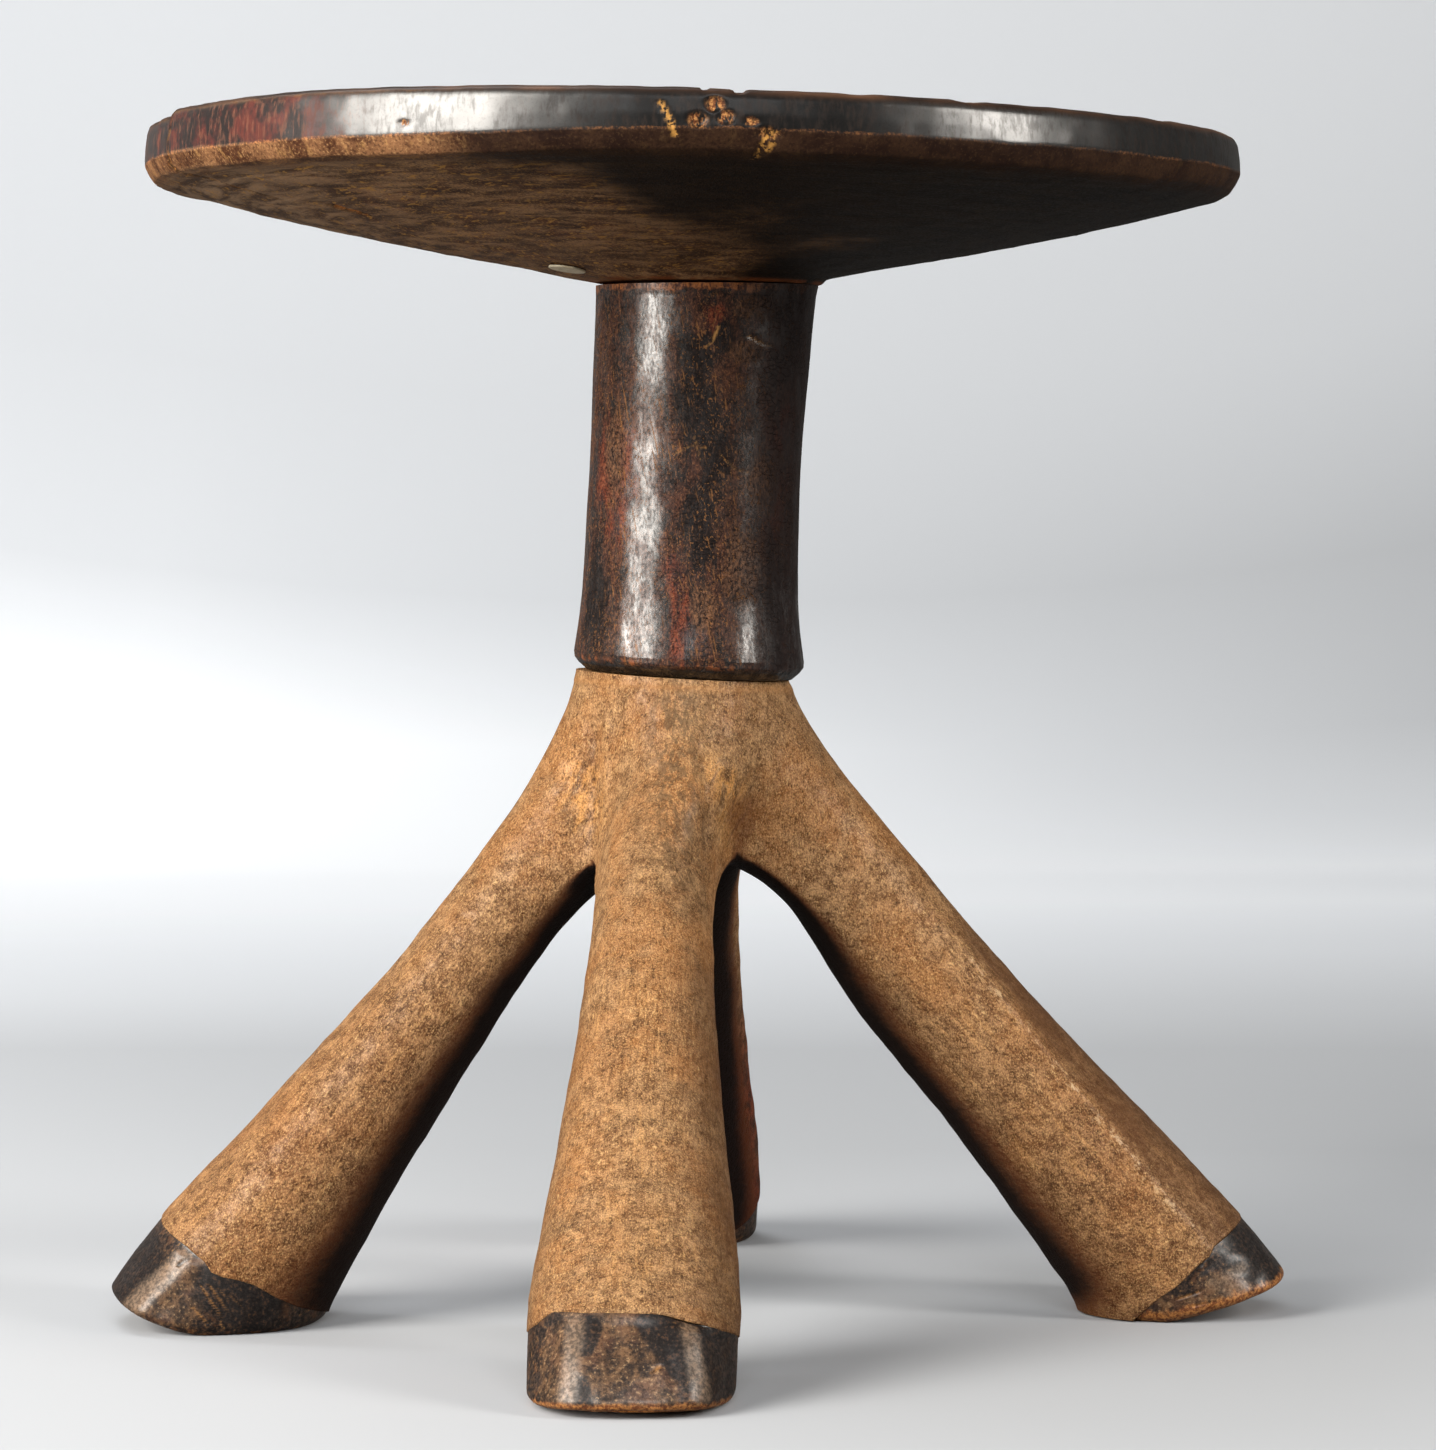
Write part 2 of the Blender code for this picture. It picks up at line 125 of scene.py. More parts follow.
def carved_mesh(name, grid, first_pole, last_pole, features):
    """Closed skin: quads join each ring of the grid to the next, and fans close the first and last
    rings on their poles. Faces turn outwards when the enclosed volume would come out negative."""
    rows, count = grid.shape[:2]
    points = np.concatenate([grid.reshape(-1, 3), [first_pole, last_pole]])
    here = np.arange(rows * count).reshape(rows, count)
    beside = np.roll(here, -1, axis=1)
    quads = np.stack([here[:-1], beside[:-1], beside[1:], here[1:]], axis=-1).reshape(-1, 4)
    first = np.stack([beside[0], here[0], np.full(count, rows * count)], axis=-1)
    last = np.stack([here[-1], beside[-1], np.full(count, rows * count + 1)], axis=-1)
    fans = np.concatenate([first, last])
    triangles = np.concatenate([quads[:, [0, 1, 2]], quads[:, [0, 2, 3]], fans])
    a, b, c = (points[triangles[:, i]] for i in range(3))
    if np.einsum("ij,ij->", a, np.cross(b, c)) < 0:
        quads, fans = quads[:, ::-1], fans[:, ::-1]
    mesh = bpy.data.meshes.new(name)
    mesh.vertices.add(len(points))
    mesh.vertices.foreach_set("co", (points + AXIS_PLACE).astype(np.float32).ravel())
    mesh.loops.add(quads.size + fans.size)
    mesh.loops.foreach_set("vertex_index", np.concatenate([quads.ravel(), fans.ravel()]))
    mesh.polygons.add(len(quads) + len(fans))
    starts = [np.arange(len(quads)) * 4, quads.size + np.arange(len(fans)) * 3]
    mesh.polygons.foreach_set("loop_start", np.concatenate(starts))
    mesh.update(calc_edges=True)
    for feature, values in features.items():
        ends = [values[:1].mean(axis=1), values[-1:].mean(axis=1)]
        flat = np.concatenate([values.reshape(rows * count, -1), *[e.reshape(1, -1) for e in ends]])
        write_feature(mesh, feature, flat)
    return finish_piece(name, mesh)


def write_feature(mesh, feature, values):
    """Stores one number or one vector a point on the mesh, for its material to read."""
    kind, field = ("FLOAT", "value") if values.shape[-1] == 1 else ("FLOAT_VECTOR", "vector")
    layer = mesh.attributes.new(feature, kind, "POINT")
    layer.data.foreach_set(field, values.astype(np.float32).ravel())


def finish_piece(name, mesh):
    """Makes the mesh a smooth piece of the scene, with its sharp edges kept crisp."""
    mesh.validate()
    mesh.shade_smooth()
    mesh.set_sharp_from_angle(angle=np.radians(62))
    piece = bpy.data.objects.new(name, mesh)
    bpy.context.scene.collection.objects.link(piece)
    return piece


def stain(colour):
    """A colour of three numbers from 0 to 255, as the eye sees it, turned to linear light."""
    share = np.array(colour) / 255
    return (*np.where(share <= 0.04045, share / 12.92, ((share + 0.055) / 1.055) ** 2.4), 1.0)


class Shade:
    """A number, a place or a colour at each point of a surface: one output of a finish's nodes.
    Signs join shades and numbers; products and differences are kept from 0 to 1."""

    def __init__(self, tree, socket):
        self.tree, self.socket = tree, socket

    def __mul__(self, other):
        return shade(self.tree, "Math", {0: self, 1: other}, operation="MULTIPLY", use_clamp=True)

    def __add__(self, other):
        return shade(self.tree, "Math", {0: self, 1: other}, operation="ADD")

    def __sub__(self, other):
        return shade(self.tree, "Math", {0: self, 1: other}, operation="SUBTRACT", use_clamp=True)

    def __rsub__(self, other):
        return shade(self.tree, "Math", {0: other, 1: self}, operation="SUBTRACT", use_clamp=True)


def feed(tree, socket, value):
    """Sets an input of a node to a value, or links a shade to it."""
    if isinstance(value, Shade):
        tree.links.new(value.socket, socket)
    else:
        socket.default_value = value


def shade(tree, kind, feeds, output=0, **settings):
    """Adds a node, feeds its inputs and gives one of its outputs, all by name or number."""
    node = tree.nodes.new("ShaderNode" + kind)
    for setting, value in settings.items():
        setattr(node, setting, value)
    for socket, value in feeds.items():
        feed(tree, node.inputs[socket], value)
    return Shade(tree, node.outputs[output])


def grain(vector, scale, detail, rough=0.55, stretch=(1, 1, 1), warp=0.0, turned=(0, 0, 0)):
    """Cloudy noise on a vector in metres that is first turned and stretched along its axes."""
    if turned != (0, 0, 0):
        vector = shade(vector.tree, "Mapping", {"Vector": vector, "Rotation": turned})
    if stretch != (1, 1, 1):
        vector = shade(vector.tree, "Mapping", {"Vector": vector, "Scale": stretch})
    feeds = {"Vector": vector, "Scale": scale, "Detail": detail, "Roughness": rough, "Distortion": warp}
    return shade(vector.tree, "TexNoise", feeds, "Fac")


def ease(value, low, high, least=0.0, most=1.0):
    """Smooth step of a value from its low to its high end, between a least and a most result."""
    feeds = {"Value": value, "From Min": low, "From Max": high, "To Min": least, "To Max": most}
    return shade(value.tree, "MapRange", feeds, interpolation_type="SMOOTHSTEP")


def tint(share, under, over):
    """Lays one colour over another by a share; each is a shade, or three numbers from 0 to 255."""
    under, over = (colour if isinstance(colour, Shade) else stain(colour) for colour in (under, over))
    # The Mix node's sockets for colours are 6 and 7 going in and 2 coming out
    return shade(share.tree, "Mix", {0: share, 6: under, 7: over}, 2, data_type="RGBA")


def mottled(noise, low, high, under, over):
    """One colour where a noise is low, another where it is high, and an ease between."""
    return tint(ease(noise, low, high), under, over)


def flecked(colour, noise, low, high, most, fleck):
    """Lays a fleck's colour over another, from none at the noise's low end to most at its high."""
    return tint(ease(noise, low, high, 0, most), colour, fleck)


def part(vector, axis):
    """One of the three numbers of a vector."""
    return shade(vector.tree, "SeparateXYZ", {0: vector}, axis)


def away(value, middle):
    """How far a value lies from a middle one, to either side."""
    off = shade(value.tree, "Math", {0: value, 1: middle}, operation="SUBTRACT")
    return shade(value.tree, "Math", {0: off}, operation="ABSOLUTE")


class Finish:
    """A wood, card or board finish: a material, its shader, and each point's own coordinates."""

    def __init__(self, name, roughness=0.5, specular=0.5):
        self.material = bpy.data.materials.new(name)
        self.material.use_nodes = True
        self.tree = self.material.node_tree
        self.shader = self.tree.nodes["Principled BSDF"]
        self.give("Roughness", roughness)
        self.give("Specular IOR Level", specular)
        self.place = shade(self.tree, "TexCoord", {}, "Object")

    def give(self, name, value):
        """Feeds an input of the shader."""
        feed(self.tree, self.shader.inputs[name], value)

    def feature(self, name, output="Fac"):
        """What the mesh stores at each point under this name."""
        return shade(self.tree, "Attribute", {}, output, attribute_name=name)

    def polish(self, share, roughness, index):
        """A clear hard gloss over the wood, where the share is above nothing."""
        self.give("Coat Weight", share)
        self.give("Coat Roughness", roughness)
        self.give("Coat IOR", index)

    def roughen(self, height, distance):
        """Bumps the surface by a height from 0 to 1 that stands for this distance in metres."""
        self.give("Normal", shade(self.tree, "Bump", {"Height": height, "Distance": distance}))


SEAT_RADIUS = 148.75 * MM
SEAT_LEAN = 2.4 * MM
SEAT_LEAN_AZIMUTH = np.radians(215)
SEAT_WAVE = 1.3 * MM
SEAT_WAVE_AZIMUTH = np.radians(240)
COLUMN_TOP_SHIFT = 3.9 * MM
SEAT_COLUMNS = 620
FRONT_CROWDING = 0.45
WRAP_RADIUS = 100 * MM
RIM_WANDER, BEVEL_WANDER, TOP_WANDER = 0.45 * MM, 0.5 * MM, 0.28 * MM
# Depths of the cuts and of the skin's unevenness, in millimetres
UNDERSIDE_CUT, RIM_CUT, DISH_CUT, UNEVENNESS = 0.36, 0.05, 0.45, 0.12
SPLIT_AZIMUTH = -157.6
SPLIT_DEPTH, SPLIT_STEP, SPLIT_SETBACK = 0.8 * MM, 1.5 * MM, 0.35 * MM
SCRATCH_DEPTH, KNOT_DEPTH = 0.35 * MM, 1.3 * MM
# The rim is matt about this place across its front, in metres, and glossy again beyond
MATT_MIDDLE, MATT_REACH = 0.011, (0.022, 0.044)

# The section from the column out over the rim to the dish: radius and height in millimetres
SEAT_SECTION = np.array([
    (26.0, 282.7), (30.4, 282.72), (32.0, 283.2), (37.5, 284.8), (44.8, 286.4), (57.3, 288.65),
    (74.7, 291.75), (91.2, 295.1), (106.5, 298.3), (120.1, 301.6), (129.8, 304.0), (138.7, 306.4),
    (143.2, 307.9), (146.1, 309.7), (147.5, 312.2), (148.75, 315.3), (148.6, 318.5),
    (148.0, 322.2), (147.1, 323.8), (145.4, 324.55), (142.8, 324.6), (133.9, 323.6),
    (119.0, 321.9), (98.2, 320.6), (60.0, 320.6), (12.0, 320.6)]) * MM
RIM_EDGE = 315.3 * MM
RIM_TALLEST_AZIMUTH = np.radians(200)
LEAST_DROP, MOST_DROP = 0.6 * MM, 2.4 * MM
BEVEL_EDGE = 309.7 * MM


def seat_lift(angle, radius):
    """The lean is a cosine of the angle times the radius, and the wave one of twice the angle
    times the radius squared."""
    lean = SEAT_LEAN * np.cos(angle - SEAT_LEAN_AZIMUTH)
    wave = SEAT_WAVE * np.cos(2 * (angle - SEAT_WAVE_AZIMUTH))
    share = radius / SEAT_RADIUS
    return (lean + wave * share) * share


def edge_drop(angle, height):
    """How far the rim's lower edge and the bevel under it sink: most at the left, where the rim's
    face is tallest, by a smooth step of the cosine of the angle from there."""
    share = smooth_step(np.cos(angle - RIM_TALLEST_AZIMUTH), 0.25, 0.8)
    shape = np.interp(height / MM, (306.4, 309.7, 315.3, 320.0, 323.0), (0, 0.66, 1.0, 0.42, 0))
    return (LEAST_DROP + MOST_DROP * share) * shape


def dense_section(section, softness, spacings):
    """Walks the section in steps of a tenth of a millimetre, rounds it by a Gaussian mean, and
    picks rows whose spacing along it follows the list of (distance, spacing) pairs."""
    length = np.concatenate([[0], np.cumsum(np.linalg.norm(np.diff(section, axis=0), axis=1))])
    fine = np.arange(0, length[-1], 0.1 * MM)
    line = np.stack([np.interp(fine, length, section[:, i]) for i in range(section.shape[1])], 1)
    reach = int(4 * softness / (0.1 * MM))
    bell = np.exp(-0.5 * (np.arange(-reach, reach + 1) * 0.1 * MM / softness) ** 2)
    padded = np.pad(line, ((reach, reach), (0, 0)), mode="reflect", reflect_type="odd")
    line = np.stack([np.convolve(padded[:, i], bell / bell.sum(), "valid") for i in range(2)], 1)
    places, gaps = np.array(spacings).T * MM
    rows = np.cumsum(0.1 * MM / np.interp(fine, places, gaps))
    picked = np.interp(np.arange(1, int(rows[-1])), rows, fine)
    return np.stack([np.interp(picked, fine, line[:, i]) for i in range(2)], 1)


seat_rows = dense_section(
    SEAT_SECTION, 0.45 * MM,
    [(0, 1.2), (8, 2.2), (100, 2.2), (118, 0.9), (124, 0.38), (146, 0.38), (150, 2), (280, 9)])
steps = np.arange(SEAT_COLUMNS) * 2 * np.pi / SEAT_COLUMNS
seat_angle = (steps - FRONT_CROWDING * np.sin(steps + np.pi / 2))[None, :]
radius, height = seat_rows[:, :1], seat_rows[:, 1:]
round_place = np.stack(np.broadcast_arrays(
    WRAP_RADIUS * np.cos(seat_angle), WRAP_RADIUS * np.sin(seat_angle), radius + 0 * seat_angle), -1)
rim_walk = round_place * (1, 1, 0)

# The cutter's hand: the rim's edges wander, and its line isn't a true circle
wander = soft_noise(rim_walk, 24 * MM, 3) + 0.5 * soft_noise(rim_walk, 9 * MM, 4)
edge_nearness = np.exp(-((height - RIM_EDGE) / (2.4 * MM)) ** 2) * smooth_step(radius, 0.13, 0.145)
bevel_nearness = np.exp(-((height - BEVEL_EDGE) / (2.0 * MM)) ** 2) * smooth_step(radius, 0.12, 0.14)
top_nearness = smooth_step(height, 0.3195, 0.324) * smooth_step(radius, 0.135, 0.145)
low = soft_noise(rim_walk, 30 * MM, 5) + 0.4 * soft_noise(rim_walk, 7 * MM, 6)
top_wander = soft_noise(rim_walk, 16 * MM, 8) + 0.6 * soft_noise(rim_walk, 5 * MM, 9)
seat_height = (
    height + seat_lift(seat_angle, radius) + RIM_WANDER * wander * edge_nearness
    + BEVEL_WANDER * low * bevel_nearness + TOP_WANDER * top_wander * top_nearness
    - edge_drop(seat_angle, height) * smooth_step(radius, 0.13, 0.139))
centre_shift = COLUMN_TOP_SHIFT * smooth_step(-radius, -0.0375, -0.0304)
seat_grid = np.stack([
    radius * np.cos(seat_angle) + centre_shift, radius * np.sin(seat_angle) + 0 * centre_shift,
    seat_height], -1)

# Tool marks: long flat cuts round the underside and the dish, short upright ones on the rim
outside = surface_normals(seat_grid)
below = smooth_step(-outside[..., 2], 0.2, 0.8)
above = smooth_step(outside[..., 2], 0.3, 0.8)
upright = 1 - np.clip(below + above, 0, 1)
long_cuts = tool_cuts(round_place, np.array((17, 17, 7)) * MM, 21)
short_cuts = tool_cuts(
    np.concatenate([round_place[..., :2], seat_height[..., None]], -1),
    np.array((6, 6, 16)) * MM, 22)
wide_cuts = tool_cuts(round_place, np.array((26, 26, 15)) * MM, 23)
fade_to_column = smooth_step(radius, 0.034, 0.05)
relief = MM * (
    UNDERSIDE_CUT * below * fade_to_column * (long_cuts - 0.5) + RIM_CUT * upright * (short_cuts - 0.4)
    + DISH_CUT * above * (wide_cuts - 0.5) * smooth_step(-radius, -0.143, -0.13)
    + UNEVENNESS * soft_noise(seat_grid, 5 * MM, 24) * fade_to_column)


def rim_spot(azimuth, at_height, wide, tall):
    """How near a place is to a spot on the rim: a bell over degrees round it and over height."""
    across = np.degrees(turn_from(seat_angle, azimuth)) * np.radians(1) * SEAT_RADIUS / (wide * MM)
    up = (seat_height - seat_lift(seat_angle, radius) - at_height * MM) / (tall * MM)
    return np.exp(-across ** 2 - up ** 2) * smooth_step(radius, 0.136, 0.142)


# Chips and bruises at the front of the rim: azimuth, height, half width and height, depth
CHIPS = [
    (-89.3, 316.3, 2.6, 2.2, 0.9), (-87.6, 320.4, 2.6, 2.2, 0.55), (-86.6, 317.2, 2.2, 2.0, 0.6),
    (-85.2, 324.6, 1.7, 1.6, 1.1), (-88.6, 325.3, 0.9, 1.5, 0.8), (-82.6, 313.6, 2.8, 1.8, 0.7),
    (-84.2, 316.4, 2.0, 1.2, 0.45), (-118.6, 315.2, 2.0, 1.0, 0.4), (-61.5, 324.9, 5.0, 0.9, 0.6),
    (-34.0, 325.0, 6.0, 0.8, 0.7), (-98.0, 325.2, 7.0, 0.7, 0.45), (35.0, 324.8, 5.0, 1.2, 0.8),
    (118.0, 315.4, 6.0, 1.6, 0.9), (150.0, 324.6, 4.0, 1.2, 0.8), (72.0, 315.2, 3.0, 1.6, 0.7)]
chipped = np.zeros(seat_grid.shape[:2])
for azimuth, at_height, wide, tall, depth in CHIPS:
    spot = rim_spot(azimuth, at_height, wide, tall)
    rough = 1 + 0.5 * soft_noise(seat_grid, 1.6 * MM, 31)
    relief -= depth * MM * smooth_step(spot, 0.25, 0.75) * rough
    chipped = np.maximum(chipped, smooth_step(spot, 0.3, 0.7) * (1 - 0.7 * above))


def seat_point(azimuth, at_height, at_radius):
    """A place on the seat from its azimuth, height and radius, with the lean added."""
    turn = np.radians(azimuth)
    lift = seat_lift(turn, at_radius * MM) - edge_drop(turn, at_height * MM) * (at_radius > 135)
    return np.array((at_radius * np.cos(turn), at_radius * np.sin(turn), at_height)) * MM + (0, 0, lift)


# The split at the left: it drops over the rim and runs in under the seat, and the wood to the
# left of it stands a little lower; places are azimuth, height and radius
SPLIT = [
    (-157.1, 326.0, 147.5), (-157.3, 320.5, 148.6), (-158.0, 315.0, 148.7), (-158.2, 311.0, 147.0),
    (-157.4, 309.2, 145.9), (-156.5, 307.1, 140.7), (-156.6, 304.3, 131.0), (-156.0, 301.3, 119.0)]
split_distance = path_distance(seat_grid, [seat_point(*place) for place in SPLIT])
split_line = smooth_step(-split_distance, -1.3 * MM, -0.3 * MM)
turn_from_split = np.degrees(turn_from(seat_angle, SPLIT_AZIMUTH))
behind_split = smooth_step(-turn_from_split, -0.1, 0.5) * smooth_step(turn_from_split, -26, -5)
seat_grid[..., 2] -= (
    SPLIT_STEP * behind_split * smooth_step(height, 0.316, 0.3235) * smooth_step(radius, 0.125, 0.146))
relief -= SPLIT_SETBACK * behind_split * smooth_step(height, 0.312, 0.318) * upright
relief -= SPLIT_DEPTH * split_line

# Scratches, from one place to another with a half width, and the knot
SCRATCHES = [
    ((-92.8, 320.8, 148.6), (-92.0, 317.5, 148.8), 0.9),
    ((-92.0, 317.5, 148.8), (-91.4, 313.5, 148.2), 1.1),
    ((-82.4, 314.7, 148.6), (-83.0, 311.0, 147.0), 1.2),
    ((-83.0, 311.0, 147.0), (-83.6, 308.6, 142.8), 1.2),
    ((-81.6, 314.2, 148.4), (-82.6, 309.6, 145.6), 0.9)]
scratch = np.zeros(seat_grid.shape[:2])
for start, end, wide in SCRATCHES:
    off = line_distance(seat_grid, seat_point(*start), seat_point(*end))
    scratch = np.maximum(scratch, smooth_step(-off, -wide * MM, -0.3 * wide * MM))
relief -= SCRATCH_DEPTH * scratch
knot_a, knot_b = seat_point(-148.6, 299.2, 109.6), seat_point(-147.7, 297.4, 102.5)
knot_distance = line_distance(seat_grid, knot_a, knot_b)
knot = smooth_step(-knot_distance, -2.6 * MM, -0.7 * MM)
relief -= KNOT_DEPTH * knot
seat_grid = seat_grid + outside * relief[..., None]

# What the finish reads at each point
edge_wander = (
    0.3 * MM * soft_noise(rim_walk, 4.5 * MM, 41) + 0.2 * MM * soft_noise(rim_walk, 1.6 * MM, 42))
own_height = height + RIM_WANDER * wander * edge_nearness + edge_wander
on_rim = smooth_step(own_height, RIM_EDGE - 0.5 * MM, RIM_EDGE + 0.5 * MM) * (1 - above)
edge_line = np.exp(-((own_height - RIM_EDGE) / (0.9 * MM)) ** 2) * smooth_step(radius, 0.14, 0.145)
bevel_fade = height + 3 * edge_wander
on_bevel = (1 - on_rim) * smooth_step(bevel_fade, 0.3052, 0.3112) * smooth_step(radius, 0.137, 0.142)
on_underside = height < 0.3
foot_glow = smooth_step(-radius, -0.0345, -0.0312) * on_underside
# Painted shade: the underside and the bevel darken towards the right front
from_right_front = np.cos(seat_angle - np.radians(-28))
drift = 0.45 * soft_noise(round_place, 26 * MM, 43)
smoke_and_shade = smooth_step(from_right_front + drift + 5 * radius, 0.35, 1.25)
seat_wood = carved_mesh(
    "seat_wood", seat_grid, np.array((COLUMN_TOP_SHIFT, 0, 282.7 * MM)), np.array((0, 0, 320.6 * MM)),
    {"rim": on_rim, "bevel": on_bevel, "edge": edge_line, "chip": chipped, "split": split_line,
     "scratch": scratch, "knot": knot, "dish": above * np.ones_like(on_rim),
     "foot": foot_glow + 0 * on_rim, "smoke_and_shade": smoke_and_shade, "wrap": round_place + 0 * seat_grid})
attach(seat_wood, "root")
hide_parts("seat")


def seat_finish():
    """Near-black polish on the rim, redder at the left and matt at the front, with upright
    strokes; flecked dark brown under it, with painted light paler at the left and painted shade
    near black at the right; bare orange wood where an edge or a chip is worn."""
    wood = Finish("polished_seat_wood", specular=0.15)
    place, wrap = wood.place, wood.feature("wrap", "Vector")
    strokes = grain(place, 340, 3, 0.62, (1, 1, 0.2))
    clouds = grain(place, 34, 4, 0.62)
    patches = grain(place, 95, 4, 0.66)
    fine = grain(place, 1300, 2, 0.65)
    rings = grain(wrap, 210, 4, 0.65, (0.25, 0.25, 1), 0.3)
    dashes = grain(wrap, 640, 2, 0.6, (0.42, 0.42, 1), 0, (0.5, 0.2, 0.3))
    across = part(place, 0)
    # Underside, with painted light making it paler at the left
    under = mottled(rings, 0.38, 0.62, (74, 50, 34), (164, 126, 90))
    under = flecked(under, patches, 0.5, 0.62, 0.4, (112, 62, 36))
    under = flecked(under, clouds, 0.46, 0.6, 0.5, (84, 58, 40))
    under = flecked(under, fine, 0.54, 0.66, 0.65, (186, 146, 100))
    under = flecked(under, fine, 0.46, 0.35, 0.7, (38, 25, 18))
    painted_light = mottled(rings, 0.38, 0.62, (92, 72, 56), (188, 158, 128))
    under = tint(ease(across, -0.06, -0.14, 0, 0.55), under, painted_light)
    golden = ease(dashes, 0.56, 0.66) * ease(patches, 0.42, 0.56)
    under = tint(golden * 0.85, under, (196, 146, 76))
    # Painted shade: the underside goes near black towards the right front
    smoke_and_shade = ease(wood.feature("smoke_and_shade") + patches * 0.6, 0.3, 1.25)
    under = tint(smoke_and_shade * 0.96, under, (12, 8, 6))
    # Bevel
    bevel = mottled(patches, 0.36, 0.62, (84, 50, 31), (158, 112, 76))
    bevel = flecked(bevel, strokes, 0.56, 0.7, 0.5, (204, 154, 96))
    bevel = flecked(bevel, fine, 0.46, 0.35, 0.6, (50, 31, 22))
    bevel = flecked(bevel, fine, 0.56, 0.67, 0.5, (206, 160, 108))
    # The bevel takes the same painted shade at the right
    bevel = tint(ease(smoke_and_shade, 0.3, 0.95, 0.1, 0.9), bevel, (30, 16, 11))
    colour = tint(wood.feature("bevel"), under, bevel)
    # Rim
    rim = wood.feature("rim")
    upright = grain(place, 760, 3, 0.65, (1, 1, 0.3))
    dark = mottled(upright, 0.42, 0.7, (10, 8, 7), (40, 32, 28))
    red = mottled(patches, 0.44, 0.62, (34, 24, 22), (96, 44, 36))
    red = flecked(red, upright, 0.5, 0.66, 0.5, (138, 92, 72))
    red = flecked(red, upright, 0.46, 0.34, 0.6, (34, 20, 18))
    left = ease(across + clouds * 0.03, -0.066, -0.086)
    colour = tint(rim, colour, tint(left, dark, red))
    dish = mottled(rings, 0.35, 0.7, (44, 29, 21), (96, 66, 46))
    dish = flecked(dish, clouds, 0.42, 0.62, 0.5, (36, 24, 17))
    colour = tint(wood.feature("dish"), colour, dish)
    # Worn edge, chips, scratches, split and knot
    bare = mottled(fine, 0.38, 0.62, (110, 62, 36), (206, 146, 88))
    worn = ease(wood.feature("edge") + (patches + fine) * 0.7, 1.5, 1.95, 0, 0.8)
    orange = mottled(fine, 0.38, 0.62, (112, 60, 34), (208, 138, 82))
    colour = tint(worn * (1 - smoke_and_shade * 0.7), colour, orange)
    splinters = ease(grain(place, 620, 2, 0.6, (1, 1, 0.5)), 0.42, 0.56)
    chipped = wood.feature("chip") * splinters
    colour = tint(chipped * 0.85, colour, bare)
    scratched = wood.feature("scratch") * ease(grain(place, 700, 2), 0.44, 0.56)
    colour = tint(scratched, colour, (200, 146, 74))
    broken = ease(grain(place, 330, 2), 0.46, 0.54)
    gap = tint(broken, (20, 12, 9), (176, 116, 52))
    colour = tint(wood.feature("split") * 0.85, colour, gap)
    knot = tint(broken, (12, 7, 5), (200, 120, 44))
    colour = tint(wood.feature("knot"), colour, knot)
    foot = wood.feature("foot") * ease(patches, 0.36, 0.6)
    colour = tint(foot, colour, (124, 68, 34))
    wood.give("Base Color", colour)
    wood.give("Roughness", ease(fine, 0.3, 0.7, 0.55, 0.75))
    # Polish and relief
    shine = ease(upright + patches * 0.8, 0.84, 1.12, 1.0, 0.5) * ease(fine, 0.34, 0.5, 0.85, 1.0)
    shine = shine * ease(away(across, MATT_MIDDLE), *MATT_REACH, 0.12, 1.0)
    shine = shine * ease(across, 0.085, 0.115, 1.0, 0.6)
    glossy = rim * shine + wood.feature("dish") * 0.25
    wood.polish(glossy * (1 - chipped), 0.29, 1.9)
    relief = upright * 0.12 + fine * ease(rim, 0, 1, 0.35, 0.07)
    relief = relief + rings * (1 - rim) * 0.8
    wood.roughen(relief, 0.4 * MM)
    return wood.material


seat_wood.data.materials.append(seat_finish())

# Column
# The waisted pillar between seat and legs, carved from the same block and polished by handling.
# Its lower rim is undercut and overhangs the paler crown; it leans a little to the right.

COLUMN_BOTTOM, COLUMN_TOP = 176.3 * MM, 282.4 * MM
COLUMN_FOOT_SHIFT = -1.1 * MM
COLUMN_WANDER_POWER = 1.7
FRAME_TOP_TILT = np.radians(3.2)
COLUMN_COLUMNS = 360
# Depths in millimetres of the blade's shavings and the skin's unevenness, broad and fine
SHAVING_DEPTH, BROAD_UNEVENNESS, FINE_UNEVENNESS = 0.22, 0.08, 0.02
FOOT_RAGGEDNESS, NICK_DEPTH, WORN_DEPTH = 0.30 * MM, 0.18 * MM, 0.10 * MM


def column_shift(share):
    """How far the column's middle has wandered to the right at a share of its height: a power of
    the share, from its shift at the foot to that at the top."""
    return COLUMN_FOOT_SHIFT + share ** COLUMN_WANDER_POWER * (COLUMN_TOP_SHIFT - COLUMN_FOOT_SHIFT)


# Share of the column's height, and radius in millimetres, from the foot up
COLUMN_SECTION = np.array([
    (0.000, 26.5), (0.0004, 28.2), (0.017, 30.2), (0.031, 31.35), (0.046, 31.55), (0.075, 31.1),
    (0.121, 30.35), (0.199, 29.6), (0.324, 29.15), (0.478, 28.95), (0.614, 29.0),
    (0.749, 29.45), (0.884, 29.8), (0.971, 30.1), (0.9995, 30.4), (1.000, 28.0)])
# Rows up the column, closer together at its foot and its top
column_up = np.concatenate([
    [0], np.linspace(0.0004, 0.05, 22), np.linspace(0.054, 0.985, 205),
    np.linspace(0.987, 0.9995, 6), [1]])
column_radius = np.interp(column_up, *COLUMN_SECTION.T)
bell = np.exp(-0.5 * (np.arange(-9, 10) / 3.5) ** 2)
smooth_radius = np.convolve(np.pad(column_radius, 9, mode="edge"), bell / bell.sum(), "valid")
middle_share = smooth_step(column_up, 0.06, 0.12) * smooth_step(-column_up, -0.975, -0.95)
column_radius = column_radius + middle_share * (smooth_radius - column_radius)
up, radius = column_up[:, None], column_radius[:, None] * MM
turn = (np.arange(COLUMN_COLUMNS) * 2 * np.pi / COLUMN_COLUMNS)[None, :]
shift = column_shift(up)
column_height = COLUMN_BOTTOM + up * (COLUMN_TOP - COLUMN_BOTTOM)
